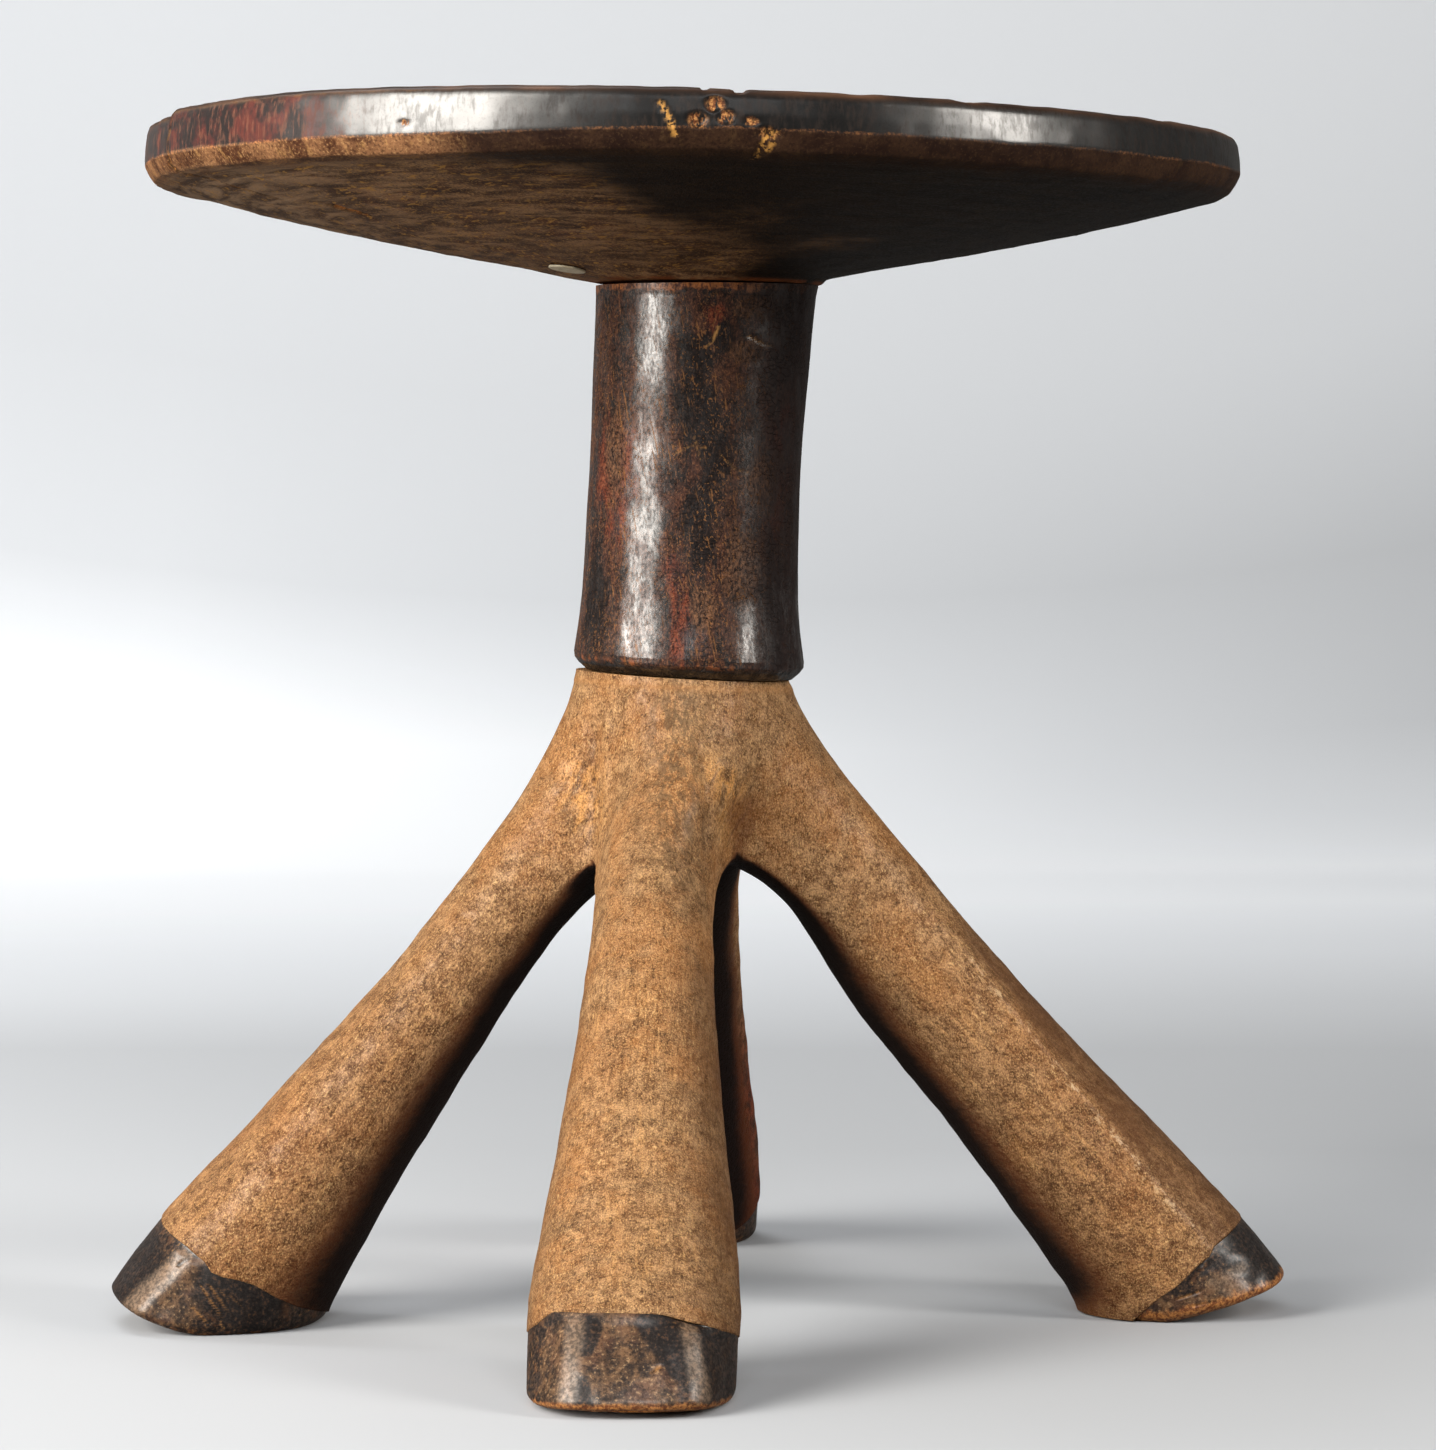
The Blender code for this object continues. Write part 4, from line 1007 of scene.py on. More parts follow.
def leg_finish():
    """Warm tan bare wood: broad orange and olive veils, fine dark speckle, painted golden glints on
    a rough skin, gouge strokes in the scoops, streaks down the legs, smoke-black undersides that are
    partly painted shade, and painted shade outwards, on the flanks, in the crease and on the back leg."""
    wood = Finish("bare_leg_wood", 0.62, 0.15)
    place, wrap = wood.place, wood.feature("wrap", "Vector")
    run = wood.feature("run")
    # Base, with orange and olive veils, and painted shade, darker and redder away from the middle
    clouds = grain(place, 40, 5, 0.62)
    mottle = grain(place, 210, 8, 0.8, (1, 1, 1.2), 0.2)
    olive = grain(place, 46, 5, 0.66, (1, 1, 1.2), 0.4, (0.6, 0.3, 0.9))
    fine = grain(wrap, 1150, 4, 0.72, (1, 1, 0.5))
    pits = grain(place, 520, 2, 0.6, (1, 1, 1.6))
    colour = mottled(mottle, 0.37, 0.63, (122, 84, 53), (202, 156, 109))
    colour = flecked(colour, clouds, 0.42, 0.62, 0.5, (190, 124, 66))
    veil = ease(olive, 0.5, 0.68)
    colour = tint(veil * 0.35, colour, (114, 88, 62))
    across = part(place, 0)
    outer_shade = ease(away(across, 0) + clouds * 0.04, 0.05, 0.14, 0, 0.5)
    outer_shade_colour = mottled(mottle, 0.4, 0.6, (100, 58, 32), (176, 122, 76))
    colour = tint(outer_shade, colour, outer_shade_colour)
    # Streaks and bands down the legs, and the gouge's strokes
    streaks = grain(wrap, 520, 4, 0.68, (1, 1, 0.14))
    colour = tint(run * ease(streaks, 0.52, 0.66, 0, 0.5), colour, (112, 72, 44))
    colour = tint(run * ease(streaks, 0.46, 0.34, 0, 0.45), colour, (220, 164, 104))
    bands = grain(wrap, 150, 3, 0.6, (0.3, 0.3, 1), 0.3)
    banded = wood.feature("banding") * ease(bands, 0.5, 0.62, 0, 0.35)
    colour = tint(banded, colour, (118, 92, 66))
    strokes = grain(place, 330, 3, 0.65, (1, 1, 0.22), 0.4, (0.3, -0.6, 0))
    gouged = wood.feature("scoop") + wood.feature("hollow")
    colour = tint(gouged * ease(strokes, 0.44, 0.56, 0.15, 0.8), colour, (244, 176, 98))
    colour = tint(gouged * ease(strokes, 0.45, 0.36, 0, 0.75), colour, (72, 41, 18))
    # Specks, painted glints and pores
    specks = ease(fine, 0.48, 0.36) * ease(veil, 0, 1, 0.6, 0.9)
    colour = tint(specks, colour, (70, 43, 27))
    gathered = ease(grain(place, 75, 3, 0.6, (1, 1, 0.7)), 0.44, 0.6, 0.15, 1.0)
    glints = ease(fine, 0.57, 0.67) * gathered
    colour = tint(glints * 0.75, colour, (250, 206, 142))
    finest = grain(place, 2500, 2, 0.7, (1, 1, 0.7))
    colour = flecked(colour, finest, 0.49, 0.34, 0.6, (76, 46, 27))
    colour = flecked(colour, finest, 0.52, 0.66, 0.5, (244, 196, 132))
    grooved = grain(place, 420, 4, 0.7, (1, 1, 0.2))
    spine = wood.feature("spine") * ease(grooved, 0.44, 0.56, 0.1, 0.75)
    colour = tint(spine, colour, (102, 80, 56))
    pores = ease(pits, 0.62, 0.7) * ease(mottle, 0.56, 0.46)
    colour = tint(pores * 0.6, colour, (66, 42, 28))
    # Painted shade on the flanks, the crest worn pale with painted glints, the edge's painted
    # highlight, painted shade in the crease and beside the edge, and the lip
    shaded_flank = wood.feature("shaded_flank") * ease(clouds, 0.3, 0.7, 0.45, 0.8)
    colour = tint(shaded_flank, colour, (100, 66, 42))
    sparse = ease(grain(place, 260, 3, 0.6), 0.44, 0.58)
    crest = wood.feature("crest") * ease(fine, 0.48, 0.6) * sparse
    colour = tint(crest * 0.65, colour, (238, 200, 148))
    # The front leg's edge takes a painted highlight
    edge = wood.feature("edge") * ease(fine, 0.42, 0.58, 0, 0.3)
    colour = tint(edge, colour, (226, 172, 112))
    # Painted shade in the crease and beside the edge
    creased = wood.feature("crease") * ease(fine, 0.6, 0.4, 0.25, 0.9)
    colour = tint(creased, colour, (62, 36, 22))
    colour = tint(wood.feature("lip") * 0.45, colour, (206, 148, 92))
    # Painted shade, dark red, on the back leg's side towards the front; smoke stain and painted
    # shade under the legs
    back_shade_share = wood.feature("back_shade") * ease(clouds, 0.3, 0.7, 0.75, 0.95)
    back_shade = mottled(mottle, 0.4, 0.6, (52, 20, 13), (142, 62, 38))
    colour = tint(back_shade_share, colour, back_shade)
    soot_and_shade = wood.feature("soot_and_shade")
    half_soot_and_shade = ease(soot_and_shade + olive * 0.3, 0.2, 0.65, 0, 0.8)
    colour = tint(half_soot_and_shade, colour, (104, 56, 30))
    smoke_and_shade = ease(soot_and_shade + mottle * 0.5, 0.62, 1.05, 0, 0.96)
    colour = tint(smoke_and_shade, colour, (20, 11, 9))
    wood.give("Base Color", colour)
    # Polish and relief
    sheen = ease(mottle, 0.42, 0.62, 0.1, 0.35) + crest * 0.4
    sheen = sheen * ease(fine, 0.4, 0.56, 0.4, 1.0)
    wood.polish(sheen * (1 - (smoke_and_shade + back_shade_share)), 0.38, 1.6)
    height = fine * 0.5 + pits * 0.4 + mottle * 0.3 + run * streaks * 0.25 + gouged * strokes * 0.6
    wood.roughen(height, 1.8 * MM)
    return wood.material


bare_wood = leg_finish()
crown_wood.data.materials.append(bare_wood)

# Legs
# Four splayed legs run on from the crown with no joint. Each swells towards the foot and stops at
# an incised line, where the dark hoof begins a little further in.

LEG_COLUMNS = 256
LEG_ROWS = 330
LEG_WRAP_RADIUS, LEG_WRAP_STATION = 20 * MM, 28 * MM
LEG_FACET_DEPTH = 0.35 * MM
EDGE_TURN_IN = 0.35 * MM
TOE_LIFT, TOE_LENGTH = 8.5 * MM, 26 * MM
SOLE_CURVES = {"front": 1.3, "right": 1.15, "back": 1.3, "left": 1.6}
SOOT_AND_SHADE_SHIFTS = {"front": 0.0, "right": -0.08, "back": 0.04, "left": 0.05}

# The crest along the right leg, worn pale and given painted glints, and the knot in the left one
RIGHT_CREST = np.array([
    (26.4, -15.3, 157.6), (37.4, -10.7, 145.1), (56.6, -8.4, 123.0), (78.4, -11, 95.9),
    (100.1, -14.3, 68.8), (121.7, -18, 41.9), (139.4, -19.3, 21.6)]) * MM
CREST_HEIGHT, CREST_WIDTH, CREST_WEAR_AND_GLINT_WIDTH = 0.45 * MM, 2.4 * MM, 1.9 * MM
FLANK_DEPTH, FLANK_FROM_CREST, FLANK_WIDTH = 0.6 * MM, 7 * MM, 4.5 * MM
LEFT_KNOT = np.array((-61.3, -21.8, 111.1)) * MM
LEFT_KNOT_DEPTH, LEFT_KNOT_WIDTH = 0.5 * MM, 1.6 * MM


def spline_weight(distance):
    """Cubic B-spline bell: two thirds at zero, one sixth a ring away, nothing two rings away."""
    away = np.abs(distance)
    near = 2 / 3 - away ** 2 + away ** 3 / 2
    far = np.clip(2 - away, 0, None) ** 3 / 6
    return np.where(away < 1, near, far)


def outward_normals(grid):
    """The grid's normals, turned round when most of them point at the middle of their row."""
    outside = surface_normals(grid)
    middle = grid.mean(axis=1, keepdims=True)
    return outside if np.einsum("ijk,ijk->", outside, grid - middle) >= 0 else -outside


def leg_cage(i):
    """Ten rings of eight points: the root loop, the eight stations and one more below them."""
    loop = np.array([
        root_ring[4 * i], root_ring[4 * i + 1], valleys[i], *undersides[i], valleys[i - 1],
        root_ring[(4 * i - 1) % 16]])
    rings = [loop] + [station_ring(LEGS[i], station) for station in STATIONS]
    return np.array(rings + [2 * rings[-1] - rings[-2]])


def leg_surface(cage, down, around):
    """Sum of the cage's points, weighted by the bell down the leg and the closed bell round it."""
    along = spline_weight(down[..., None] - np.arange(len(cage)))
    ring_steps = (around[:, None] - np.arange(8) + 4) % 8 - 4
    return np.einsum("nmk,mj,kjc->nmc", along, spline_weight(ring_steps), cage)


def crossing(cage, around, side):
    """How far down the leg each line round it first reaches zero of a height that starts above
    zero, found on a fine walk and refined by a straight line."""
    walk = np.linspace(1.0, 8.0, 900)
    down = np.broadcast_to(walk[:, None], (len(walk), len(around)))
    value = side(leg_surface(cage, down, around))
    first = np.argmax(value < 0, axis=0)
    column = np.arange(len(around))
    above, under = value[first - 1, column], value[first, column]
    return walk[first - 1] + (walk[1] - walk[0]) * above / (above - under)


def hoof_edge_side(leg):
    """Height of a point above the slanting plane of the hoof's upper edge."""
    shin_share, heel_share = leg.edge
    front, heel = shin_point(leg, "coronet"), underside_point(leg, "coronet")
    front[2], heel[2] = HOOF_HEIGHT * shin_share, HOOF_HEIGHT * heel_share
    normal = np.cross(leg_axes(leg)[1], front - heel)
    normal /= np.linalg.norm(normal)
    return lambda points: (front - points) @ normal


def sole_height(leg, points):
    """Height of the sole under a point: the floor, or a power of the way along the lifted toe."""
    lift, length = TOE_LIFT * leg.lift, TOE_LENGTH * leg.lift_length
    curve = SOLE_CURVES[leg.name]
    out = leg_axes(leg)[0]
    tip = leg_point(leg, LEG_REACH * leg.reach, 0, 0)
    from_start = (points - tip) @ out + length
    return lift * np.maximum(0, from_start / length) ** curve


# How far the incised line stays below the plane, in stations, at places round the leg
EDGE_BOWS = {
    "front": [(0.25, 0.07), (0.41, 0.08), (0.69, 0.16), (0.97, 0.19), (1.25, 0.22), (1.84, 0.17),
              (2.6, 0.0), (5.6, 0.0), (6.3, 0.15), (6.75, 0.13), (7.06, -0.01), (7.3, 0.01),
              (7.53, 0.05), (7.97, 0.06)],
    "right": [(0.3, 0.08), (1.0, 0.0), (1.6, -0.10), (2.4, -0.2), (5.0, -0.25), (5.5, -0.25),
              (5.72, -0.21), (5.94, -0.12), (6.34, -0.08), (6.53, -0.03), (6.69, -0.07),
              (6.97, 0.0), (7.66, 0.10)],
    "back": [(0.5, 0.08), (1.2, 0.16), (2.0, 0.06), (4.0, 0.0), (6.0, 0.08), (6.9, 0.14), (7.5, 0.03)],
    "left": [(0.34, 0.06), (1.09, 0.05), (1.47, 0.09), (1.63, 0.18), (1.78, 0.15), (1.97, 0.05),
             (2.19, -0.02), (2.5, -0.01), (2.9, -0.05), (3.25, -0.13), (3.6, -0.17), (4.2, -0.1),
             (5.0, 0.0), (7.6, 0.03)]}

leg_skins = []
leg_around = np.arange(LEG_COLUMNS) * 8 / LEG_COLUMNS
for i, leg in enumerate(LEGS):
    cage = leg_cage(i)
    edge = crossing(cage, leg_around, hoof_edge_side(leg))
    sole = crossing(cage, leg_around, lambda points: points[..., 2] - sole_height(leg, points))
    bow_places, bows = np.array(EDGE_BOWS[leg.name]).T
    edge = edge + np.interp(leg_around, bow_places, bows, period=8)
    edge = np.minimum(edge, sole - 0.012)
    leg_skins.append((cage, edge, sole))


def leg_grid(i):
    """Rows from the root to the hoof's edge, closer together at the edge."""
    cage, edge, _ = leg_skins[i]
    share = np.linspace(0, 1, LEG_ROWS)[:, None]
    share = share + 0.12 * np.sin(np.pi * share) * share
    down = 1 + share * (edge[None, :] - 1)
    return leg_surface(cage, down, leg_around), down


def crest_side(points, crest):
    """Height of a point above the crest, measured square to the crest's own line."""
    along = crest[-1] - crest[0]
    upward = np.array((-along[2], 0, along[0]))
    upward /= np.linalg.norm(upward)
    places = (points - crest[0]) @ along / (along @ along)
    own = (crest - crest[0]) @ along / (along @ along)
    return (points - crest[0]) @ upward - np.interp(places, own, (crest - crest[0]) @ upward)


for i, leg in enumerate(LEGS):
    name = leg.name
    grid, down = leg_grid(i)
    edge = leg_skins[i][1]
    outside = outward_normals(grid)
    height, shares = crown_marks(grid)
    height = height + carving(grid)
    from_root = smooth_step(down, 1.0, 1.5)
    wide_facets = tool_cuts(grid + 0.3 * i, np.array((15, 15, 24)) * MM, 71 + i)
    height += LEG_FACET_DEPTH * from_root * (wide_facets - 0.45)
    turned_in = smooth_step(down - edge[None, :], -0.035, 0.0)
    height -= EDGE_TURN_IN * turned_in ** 3
    if name == "right":
        crest_distance = path_distance(grid, RIGHT_CREST)
        crested = np.exp(-(crest_distance / CREST_WEAR_AND_GLINT_WIDTH) ** 2) * from_root
        height += CREST_HEIGHT * np.exp(-(crest_distance / CREST_WIDTH) ** 2) * from_root
        # The flank beyond the crest is flattened and takes painted shade
        shaded_flank = smooth_step(crest_side(grid, RIGHT_CREST), -1 * MM, 5 * MM)
        shaded_flank = shaded_flank * (leg_around > 4) * from_root
        height -= FLANK_DEPTH * shaded_flank * np.exp(-((crest_distance - FLANK_FROM_CREST) / FLANK_WIDTH) ** 2)
    else:
        crested = shaded_flank = np.zeros(grid.shape[:2])
    if name == "front":
        # Painted shade on both sides of the front leg
        right_side = smooth_step(leg_around, 0.1, 1.6) * (leg_around < 4)
        left_side = smooth_step(8 - leg_around, 0.7, 2.0) * (leg_around > 4)
        shaded_flank = from_root * (0.95 * right_side + 0.7 * left_side)
    if name == "left":
        knot_distance = np.linalg.norm(grid - LEFT_KNOT, axis=-1)
        height -= LEFT_KNOT_DEPTH * np.exp(-(knot_distance / LEFT_KNOT_WIDTH) ** 2)
    grid = grid + outside * height[..., None]
    ring_wrap = np.stack(np.broadcast_arrays(
        LEG_WRAP_RADIUS * np.cos(leg_around * np.pi / 4),
        LEG_WRAP_RADIUS * np.sin(leg_around * np.pi / 4), down * LEG_WRAP_STATION), -1)
    # Painted shade on the back leg, most on its side that faces the front
    back_shaded = smooth_step(down, 0.9, 2.8) * smooth_step(-outside[..., 1], -1.2, 0.0)
    soot_and_shade_shift = CROWN_SOOT_AND_SHADE_SHIFT + (SOOT_AND_SHADE_SHIFTS[name] - CROWN_SOOT_AND_SHADE_SHIFT) * from_root
    piece = carved_mesh(
        name + "_leg_wood", grid, grid[0].mean(axis=0), grid[-1].mean(axis=0),
        {"soot_and_shade": soot_and_shade(outside, soot_and_shade_shift), "crest": crested, "wrap": ring_wrap,
         "run": from_root, "shaded_flank": shaded_flank, "banding": from_root * (name == "front"),
         "back_shade": back_shaded * (name == "back"), **shares})
    piece.data.materials.append(bare_wood)
    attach(piece, "root")
    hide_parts(name + "_leg")

# Hooves
# The ends of the legs, cut a little smaller than the shin, blackened, and worn brown on their
# faces and along the sole, with painted highlight along the ridges. Each is the same wood as its leg.

HOOF_ROWS = 120
SOLE_ROUNDING = 3.2 * MM
LEDGE = 0.45 * MM
SWELL_WIDTH = 3.6
# Heights in millimetres of the ridges' swelling, and depths of the flats, patches, strokes and cuts
SWELL_HEIGHT, FLAT_DEPTH, PATCH_DEPTH, STROKE_DEPTH, CUT_DEPTH = 0.7, 0.7, 0.2, 0.3, 0.4


def hoof_finish():
    """Glossy black patina with brown wood worn through it, painted highlight along the ridges,
    golden strokes, and a bare orange edge along the sole."""
    wood = Finish("blackened_hoof_wood", 0.6, 0.2)
    place = wood.place
    clouds = grain(place, 90, 4, 0.66)
    patches = grain(place, 300, 5, 0.7)
    fine = grain(place, 1000, 3, 0.68)
    dark = mottled(fine, 0.44, 0.62, (22, 14, 11), (74, 52, 36))
    dark = flecked(dark, patches, 0.5, 0.64, 0.7, (96, 62, 38))
    dark = flecked(dark, fine, 0.6, 0.68, 0.7, (150, 108, 58))
    brown = mottled(patches, 0.38, 0.62, (40, 26, 17), (112, 82, 55))
    brown = flecked(brown, clouds, 0.48, 0.6, 0.4, (98, 58, 34))
    brown = flecked(brown, fine, 0.46, 0.36, 0.75, (36, 25, 19))
    brown = flecked(brown, fine, 0.57, 0.66, 0.5, (190, 154, 112))
    worn = broken(wood.feature("worn"), patches, 0.7, 1.25)
    colour = tint(worn * 0.9, dark, brown)
    black = broken(wood.feature("black"), patches, 0.8, 1.2)
    inky = tint(ease(fine, 0.54, 0.64, 0, 0.7), (20, 13, 11), (86, 58, 38))
    colour = tint(black * 0.95, colour, inky)
    # Painted highlight along the ridges
    ridge = wood.feature("ridge") * ease(fine, 0.4, 0.6, 0.4, 1.0)
    colour = tint(ridge * 0.5, colour, (160, 132, 106))
    strokes = wood.feature("stroke") * ease(fine, 0.38, 0.56, 0.05, 0.5)
    colour = tint(strokes, colour, (186, 128, 62))
    bare = broken(wood.feature("sole") * 0.9, patches, 0.78, 1.15, 0.85)
    orange = mottled(fine, 0.4, 0.6, (120, 66, 34), (206, 138, 72))
    colour = tint(bare, colour, orange)
    colour = tint(wood.feature("cut") * 0.9, colour, (14, 9, 8))
    wood.give("Base Color", colour)
    sheen = ease(clouds, 0.36, 0.6, 0.5, 0.9) * ease(fine, 0.36, 0.56, 0.5, 1.0)
    wood.polish(sheen, 0.36, 1.65)
    height = fine * 0.3 + patches * 0.5
    wood.roughen(height, 0.5 * MM)
    return wood.material


black_wood = hoof_finish()

# On each hoof, lines in millimetres with a half width: its ridges, which swell and take painted
# highlight, the faces worn brown, the patches that stayed black, the short golden strokes, the
# lines cut into it and its flat faces
HOOF_LINES = {
    "front": {
        "ridge": [(-28.3, -150, 21.6, -29.2, -155.8, 13.7, 1.6),
                  (-29.2, -155.8, 13.7, -30.6, -160.7, 5.2, 1.8),
                  (-0.4, -150.8, 20.6, 1.7, -156.4, 11.4, 1.5), (1.7, -156.4, 11.4, 3.1, -158.7, 5.5, 1.7)],
        "worn": [(-18.0, -150, 25, -24.0, -160, 7, 4.2), (-17.2, -150, 25, -8.0, -161, 6, 4.2),
                 (-17.0, -154, 17, -16.0, -161, 6, 6.0), (-33.0, -148, 17, -34.5, -156, 5, 3.2),
                 (-31.5, -149, 22, -28.6, -151, 25, 1.4)],
        "black": [(-9.0, -151, 22.5, -2.0, -156, 13.5, 3.2), (-27.0, -160, 8, -26.0, -162, 4, 1.8),
                  (-24.5, -151, 21.5, -26.0, -153, 17, 2.0), (8.0, -146, 22, 9.0, -152, 6, 4.5)],
        "stroke": [(-37.5, -147, 19.8, -36.2, -148, 21.8, 0.5), (-12.0, -158, 10, -7.5, -159, 13, 0.4)],
        "cut": [(-39.5, -146, 19.0, -34.5, -148.5, 23.6, 0.35), (-7.0, -150.5, 25, 12.0, -148, 18, 0.4)],
        "flat": [(-15.5, -152, 20, -13.5, -160, 6, 4.5), (-36, -147, 16, -37, -152, 6, 3.0),
                 (9, -149, 16, 10.5, -152, 6, 3.5)]},
    "right": {
        "ridge": [(142, -20.6, 11.3, 149, -18.9, 9.2, 1.4), (145.1, -19.6, 12.6, 150, -19, 15, 1.2)],
        "worn": [(141, -20, 10, 153, -17, 9, 3.0), (158.5, -9, 11, 161, -8, 12, 2.6),
                 (128, -20, 5, 150, -16, 6, 2.2), (155, -17, 11.5, 161, -10, 13, 3.2)],
        "black": [(150, -17, 20, 158, -10, 15, 5.0)],
        "stroke": [(132, -20, 7, 138, -20, 9, 0.4), (136, -20, 5, 146, -18, 7, 0.4)],
        "cut": [(138.5, -20.9, 16.2, 141.0, -20, 21.5, 0.35)],
        "flat": [(141, -19.5, 12.5, 151, -17, 10.5, 4.0)]},
    "back": {
        "ridge": [(-22, 148, 21, -23, 158, 8, 1.1), (9, 148, 21, 10, 158, 8, 1.1)],
        "worn": [(-8, 152, 22, -12, 160, 7, 5), (-6, 152, 22, 0, 160, 7, 5)],
        "black": [(3, 152, 22, 6, 156, 12, 2.5)],
        "stroke": [(-14, 158, 10, -10, 158, 13, 0.4)],
        "cut": [(12, 150, 22, 22, 146, 18, 0.35)],
        "flat": [(-7, 152, 20, -6.5, 160, 7, 4.5)]},
    "left": {
        "ridge": [(-136.7, -38.5, 20.9, -146.0, -37.8, 12.4, 2.0),
                  (-146.0, -37.8, 12.4, -152.9, -36.5, 5.5, 2.2)],
        "worn": [(-134, -40, 17, -146, -38.5, 9, 3.6), (-134.7, -41.4, 7.9, -137, -41, 6, 2.6),
                 (-156, -30, 5, -160, -20, 4.5, 2.0), (-141, -39.5, 8, -150, -38, 4.5, 3.0)],
        "black": [(-126, -41, 14, -118, -40, 8, 6.0), (-150, -26, 19, -156, -24, 11, 6.0)],
        "stroke": [(-132, -41.5, 14, -126, -42, 5, 0.22), (-129.5, -42, 14, -124, -42, 6, 0.25),
                   (-127, -42, 13, -121.5, -42, 6.5, 0.2), (-124, -42, 11.5, -120, -41, 7, 0.22),
                   (-134, -42, 8, -130, -42, 3.5, 0.22)],
        "cut": [(-134.0, -41.0, 21.8, -138.0, -39.0, 19.0, 0.35)],
        "flat": [(-146, -32, 19, -156, -28, 9, 4.5)]}}
# How strongly, and how many millimetres up, the edge of each sole is worn
WORN_SOLES = {"front": (1.0, 3.4), "right": (1.15, 6.0), "back": (0.6, 3.0), "left": (0.5, 3.0)}


def line_shares(points, lines):
    """Nearness to the closest of a hoof's lines: 1 on it, nothing at twice its half width, with
    distances from front to back counted a third."""
    flat = np.array((1, 0.33, 1))
    shares = []
    for line in lines:
        off = line_distance(points / MM * flat, flat * line[:3], flat * line[3:6])
        shares.append(smooth_step(-off / line[6], -2, -0.6))
    return np.max(shares, axis=0)


for i, leg in enumerate(LEGS):
    name = leg.name
    cage, edge, sole = leg_skins[i]
    share = np.linspace(0, 1, HOOF_ROWS)[:, None]
    down = edge[None, :] + share * (sole - edge)[None, :]
    grid = leg_surface(cage, down, leg_around)
    outside = outward_normals(grid)
    marks = {kind: line_shares(grid, lines) for kind, lines in HOOF_LINES[name].items()}
    height = 0.5 * carving(grid) - LEDGE
    swell = line_shares(grid, [(*line[:6], SWELL_WIDTH) for line in HOOF_LINES[name]["ridge"]])
    below_edge = smooth_step(share, 0.0, 0.12)
    height += MM * below_edge * (
        SWELL_HEIGHT * swell - FLAT_DEPTH * marks["flat"] - PATCH_DEPTH * marks["black"]
        - STROKE_DEPTH * marks["stroke"])
    height -= CUT_DEPTH * MM * marks["cut"]
    grid = grid + outside * height[..., None]
    above_sole = grid[..., 2] - sole_height(leg, grid)
    rounding = np.clip(1 - above_sole / SOLE_ROUNDING, 0, 1)
    inset = SOLE_ROUNDING * (1 - np.sqrt(1 - 0.98 * rounding ** 2))
    centre = grid[-1].mean(axis=0)
    inward = (centre - grid) * (1, 1, 0)
    inward /= np.maximum(np.linalg.norm(inward, axis=-1, keepdims=True), 1e-6)
    grid = grid + inward * inset[..., None]
    grid[..., 2] = np.maximum(grid[..., 2], sole_height(leg, grid))
    last = grid[-1].mean(axis=0)
    last[2] = sole_height(leg, last)
    wear, worn_height = WORN_SOLES[name]
    worn_sole = wear * np.clip(1 - above_sole / (worn_height * MM), 0, 1)
    piece = carved_mesh(
        name + "_hoof_wood", grid, grid[0].mean(axis=0), last, {**marks, "sole": worn_sole})
    piece.data.materials.append(black_wood)
    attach(piece, "root")
    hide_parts(name + "_hoof")

# Label
# A small plain round card stuck under the seat near the column. It is thin paper board, cream
# with age, and slightly domed by its glue.

LABEL_RADIUS = 5.0 * MM
LABEL_COLUMNS = 96
LABEL_AZIMUTH = np.radians(217)
LABEL_HALF_THICKNESS = 0.25 * MM
# Rise over run of the seat's section where the card lies
LABEL_SLOPE = (288.65 - 286.4) / (57.3 - 44.8)


def label_grid():
    """Rings over a disc: flat back, a rounded rim, and a front that rises to its middle, laid on
    the seat's slope."""
    low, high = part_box("label_disc")
    centre = (np.array(low) + np.array(high)) / 2 - AXIS_PLACE
    out = np.array((np.cos(LABEL_AZIMUTH), np.sin(LABEL_AZIMUTH), 0))
    face = LABEL_SLOPE * out - np.array((0, 0, 1))
    face /= np.linalg.norm(face)
    side = np.cross(face, out)
    side /= np.linalg.norm(side)
    along = np.cross(side, face)
    shares = np.concatenate([np.linspace(0.1, 1, 8), [1.0, 1.0], np.linspace(0.985, 0.1, 10)])
    rises = np.concatenate([np.full(8, -0.25), [-0.1, 0.1], np.linspace(0.2, 0.25, 10)]) * MM
    turns = np.arange(LABEL_COLUMNS) * 2 * np.pi / LABEL_COLUMNS
    wobble = 1 + 0.006 * np.sin(5 * turns) + 0.004 * np.sin(9 * turns + 1)
    across = LABEL_RADIUS * shares[:, None, None] * (
        along * np.cos(turns)[:, None] + side * np.sin(turns)[:, None]) * wobble[:, None]
    return centre + across + face * rises[:, None, None], centre, face


grid, centre, face = label_grid()
label_card = carved_mesh(
    "label_card", grid, centre - LABEL_HALF_THICKNESS * face, centre + LABEL_HALF_THICKNESS * face, {})


def card_finish():
    """Cream card with faint fibres and handling stains."""
    card = Finish("cream_card", 0.7)
    fibres = grain(card.place, 900, 3, 0.6, (1, 0.3, 1))
    stains = grain(card.place, 260, 2, 0.5)
    colour = mottled(fibres, 0.3, 0.7, (206, 196, 168), (226, 216, 190))
    colour = flecked(colour, stains, 0.5, 0.7, 0.35, (176, 156, 118))
    card.give("Base Color", colour)
    card.roughen(fibres, 0.05 * MM)
    return card.material


label_card.data.materials.append(card_finish())
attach(label_card, "root")
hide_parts("label_disc")

# Floor and backdrop
# One sweep of pale board: a round floor that curves up into a wall on all sides. Seen by the
# camera it carries painted light, brighter on the left, with a painted glow past its whitest; the
# grey it bounces is darker behind the camera.

FLOOR_RADIUS = 1.5
SWEEP_BEND = 0.9
SWEEP_HEIGHT = 3.0
SWEEP_COLUMNS = 96
FLOOR_DEPTH = 0.05 * MM


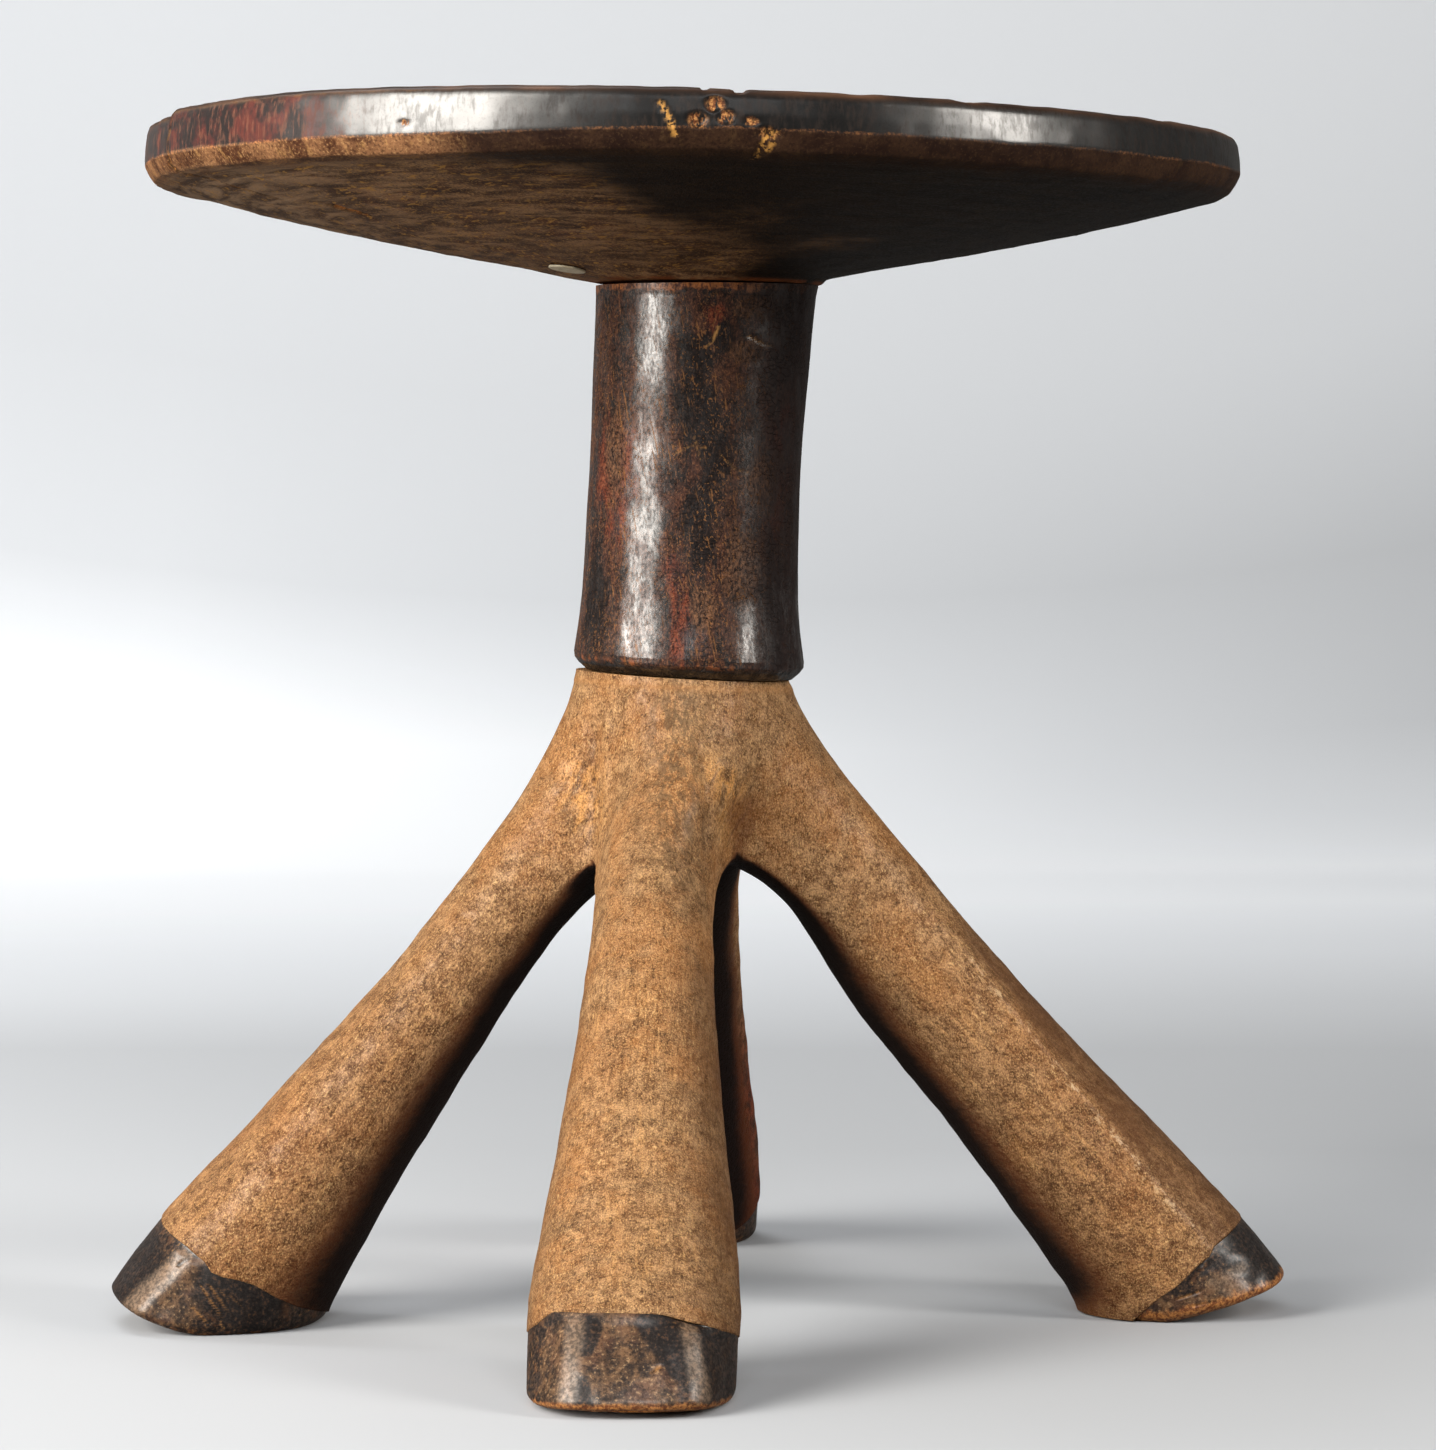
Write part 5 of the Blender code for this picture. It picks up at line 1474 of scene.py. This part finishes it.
def sweep_sheet():
    """A flat floor, a quarter circle and an upright wall, turned about the stool."""
    bend = np.linspace(0, np.pi / 2, 40)
    profile = np.concatenate([
        [(0.3, 0.0), (0.8, 0.0)],
        np.stack([FLOOR_RADIUS + SWEEP_BEND * np.sin(bend), SWEEP_BEND * (1 - np.cos(bend))], 1),
        [(FLOOR_RADIUS + SWEEP_BEND, SWEEP_HEIGHT)]])
    turns = np.arange(SWEEP_COLUMNS) * 2 * np.pi / SWEEP_COLUMNS
    reach, level = profile[:, :1], profile[:, 1:] - FLOOR_DEPTH
    points = np.stack(np.broadcast_arrays(reach * np.cos(turns), reach * np.sin(turns), level), -1)
    here = np.arange(points[..., 0].size).reshape(points.shape[:2])
    beside = np.roll(here, -1, axis=1)
    faces = np.stack([here[1:], beside[1:], beside[:-1], here[:-1]], -1).reshape(-1, 4)
    mesh = bpy.data.meshes.new("studio_sweep")
    mesh.from_pydata(points.reshape(-1, 3).tolist(), [], faces.tolist() + [here[0].tolist()])
    mesh.shade_smooth()
    return mesh


sweep = bpy.data.objects.new("studio_sweep", sweep_sheet())
bpy.context.scene.collection.objects.link(sweep)


# Painted light on the board: its tones at depths in metres behind the stool, along its left and
# its right edge
LEFT_TONES = [
    (-0.13, 0.66), (0.34, 0.68), (0.64, 0.64), (0.83, 0.79), (1.05, 0.91), (1.33, 1.09),
    (1.53, 1.21), (1.8, 1.24), (1.98, 0.87), (2.14, 0.80), (2.33, 0.83)]
RIGHT_TONES = [
    (-0.13, 0.58), (0.34, 0.34), (0.64, 0.45), (0.83, 0.58), (1.05, 0.79), (1.33, 0.96),
    (1.53, 0.94), (1.8, 0.57), (1.98, 0.54), (2.14, 0.69), (2.33, 0.77)]
LEFT_EDGE, RIGHT_EDGE = -0.36, 0.55
WHITEST_BOARD = 0.85
BLUISH = (0.955, 1.0, 1.06)


def board_tone(depth, tones):
    """A grey from 0 to 1.5 that follows a list of (depth, tone) pairs by straight lines."""
    total = tones[0][1]
    for (start, painted_tone), (end, next_tone) in zip(tones, tones[1:]):
        feeds = {"Value": depth, "From Min": start, "From Max": end, "To Max": next_tone - painted_tone}
        total = shade(depth.tree, "MapRange", feeds) + total
    return total


def board_finish():
    """Seen by the camera, the board shows the photo's greys, and those past its whitest glow; the
    light that it bounces comes from a plain grey, darker behind the camera."""
    board = Finish("pale_board", 0.8, 0.1)
    across, depth = part(board.place, 0), part(board.place, 1)
    feeds = {"Value": across, "From Min": LEFT_EDGE, "From Max": RIGHT_EDGE}
    sideways = shade(board.tree, "MapRange", feeds)
    feeds = {0: sideways, 2: board_tone(depth, LEFT_TONES), 3: board_tone(depth, RIGHT_TONES)}
    painted_tone = shade(board.tree, "Mix", feeds)
    paper = shade(board.tree, "Math", {0: painted_tone, 1: WHITEST_BOARD}, operation="MINIMUM")
    shown = shade(board.tree, "CombineColor", dict(enumerate(paper * share for share in BLUISH)))
    seen = shade(board.tree, "LightPath", {}, "Is Camera Ray")
    board.give("Emission Strength", (painted_tone - WHITEST_BOARD) * seen)
    board.give("Emission Color", (1, 1, 1, 1))
    bounced = tint(ease(depth, -0.35, -1.3), (116, 116, 116), (56, 56, 57))
    board.give("Base Color", tint(seen, bounced, shown))
    return board.material


sweep.data.materials.append(board_finish())

# Light and camera
# A tall soft box stands to the left and a narrower one to the right, both a little warm; weak wide
# ones hang over the camera and over the stool, and another lights the wall behind. The camera
# stands where the photo was taken from.

WARM = (1, 0.95, 0.88)
AIR_STRENGTH = 0.05
CAMERA_PLACE = (0.00467, -1.450, 0.2382)
CAMERA_PITCH = np.radians(-2.9986)
SENSOR_WIDTH = 36
# In pixels of the photo
PHOTO_FOCAL = 5293.5
PHOTO_LONG_SIDE = 1450


def soft_box(name, place, target, wide, tall, power, colour=(1, 1, 1)):
    """A flat lamp at one place, turned towards another."""
    lamp = bpy.data.lights.new(name, "AREA")
    lamp.shape = "RECTANGLE"
    lamp.size, lamp.size_y = wide, tall
    lamp.energy = power
    lamp.color = colour
    box = bpy.data.objects.new(name, lamp)
    box.location = place
    box.rotation_euler = (Vector(place) - Vector(target)).to_track_quat("Z", "Y").to_euler()
    box.visible_camera = False
    bpy.context.scene.collection.objects.link(box)
    return box


soft_box("left_box", (-1.55, -1.12, 0.85), (0, 0, 0.2), 1.15, 1.4, 74, WARM)
soft_box("right_box", (1.42, -0.70, 0.78), (0, 0, 0.25), 0.34, 0.8, 15, WARM)
soft_box("front_box", (0.2, -2.0, 1.35), (0, 0, 0.15), 1.2, 0.8, 17)
soft_box("top_box", (-0.5, 0.5, 1.8), (0, 0.3, 0), 1.2, 1.0, 8)
soft_box("wall_box", (-0.9, 0.8, 1.7), (-0.3, 2.4, 0.5), 1.2, 0.8, 15)

world = bpy.data.worlds.new("studio_air")
world.use_nodes = True
world.node_tree.nodes["Background"].inputs[0].default_value = (1, 1, 1, 1)
world.node_tree.nodes["Background"].inputs[1].default_value = AIR_STRENGTH
scene = bpy.context.scene
scene.world = world
scene.view_settings.view_transform = "Standard"

eye = bpy.data.cameras.new("photo_eye")
eye.sensor_width = SENSOR_WIDTH
eye.lens = SENSOR_WIDTH * PHOTO_FOCAL / PHOTO_LONG_SIDE
eye.clip_start, eye.clip_end = 0.05, 30
camera = bpy.data.objects.new("photo_eye", eye)
camera.location = CAMERA_PLACE
camera.rotation_euler = (np.radians(90) + CAMERA_PITCH, 0, 0)
scene.collection.objects.link(camera)
scene.camera = camera
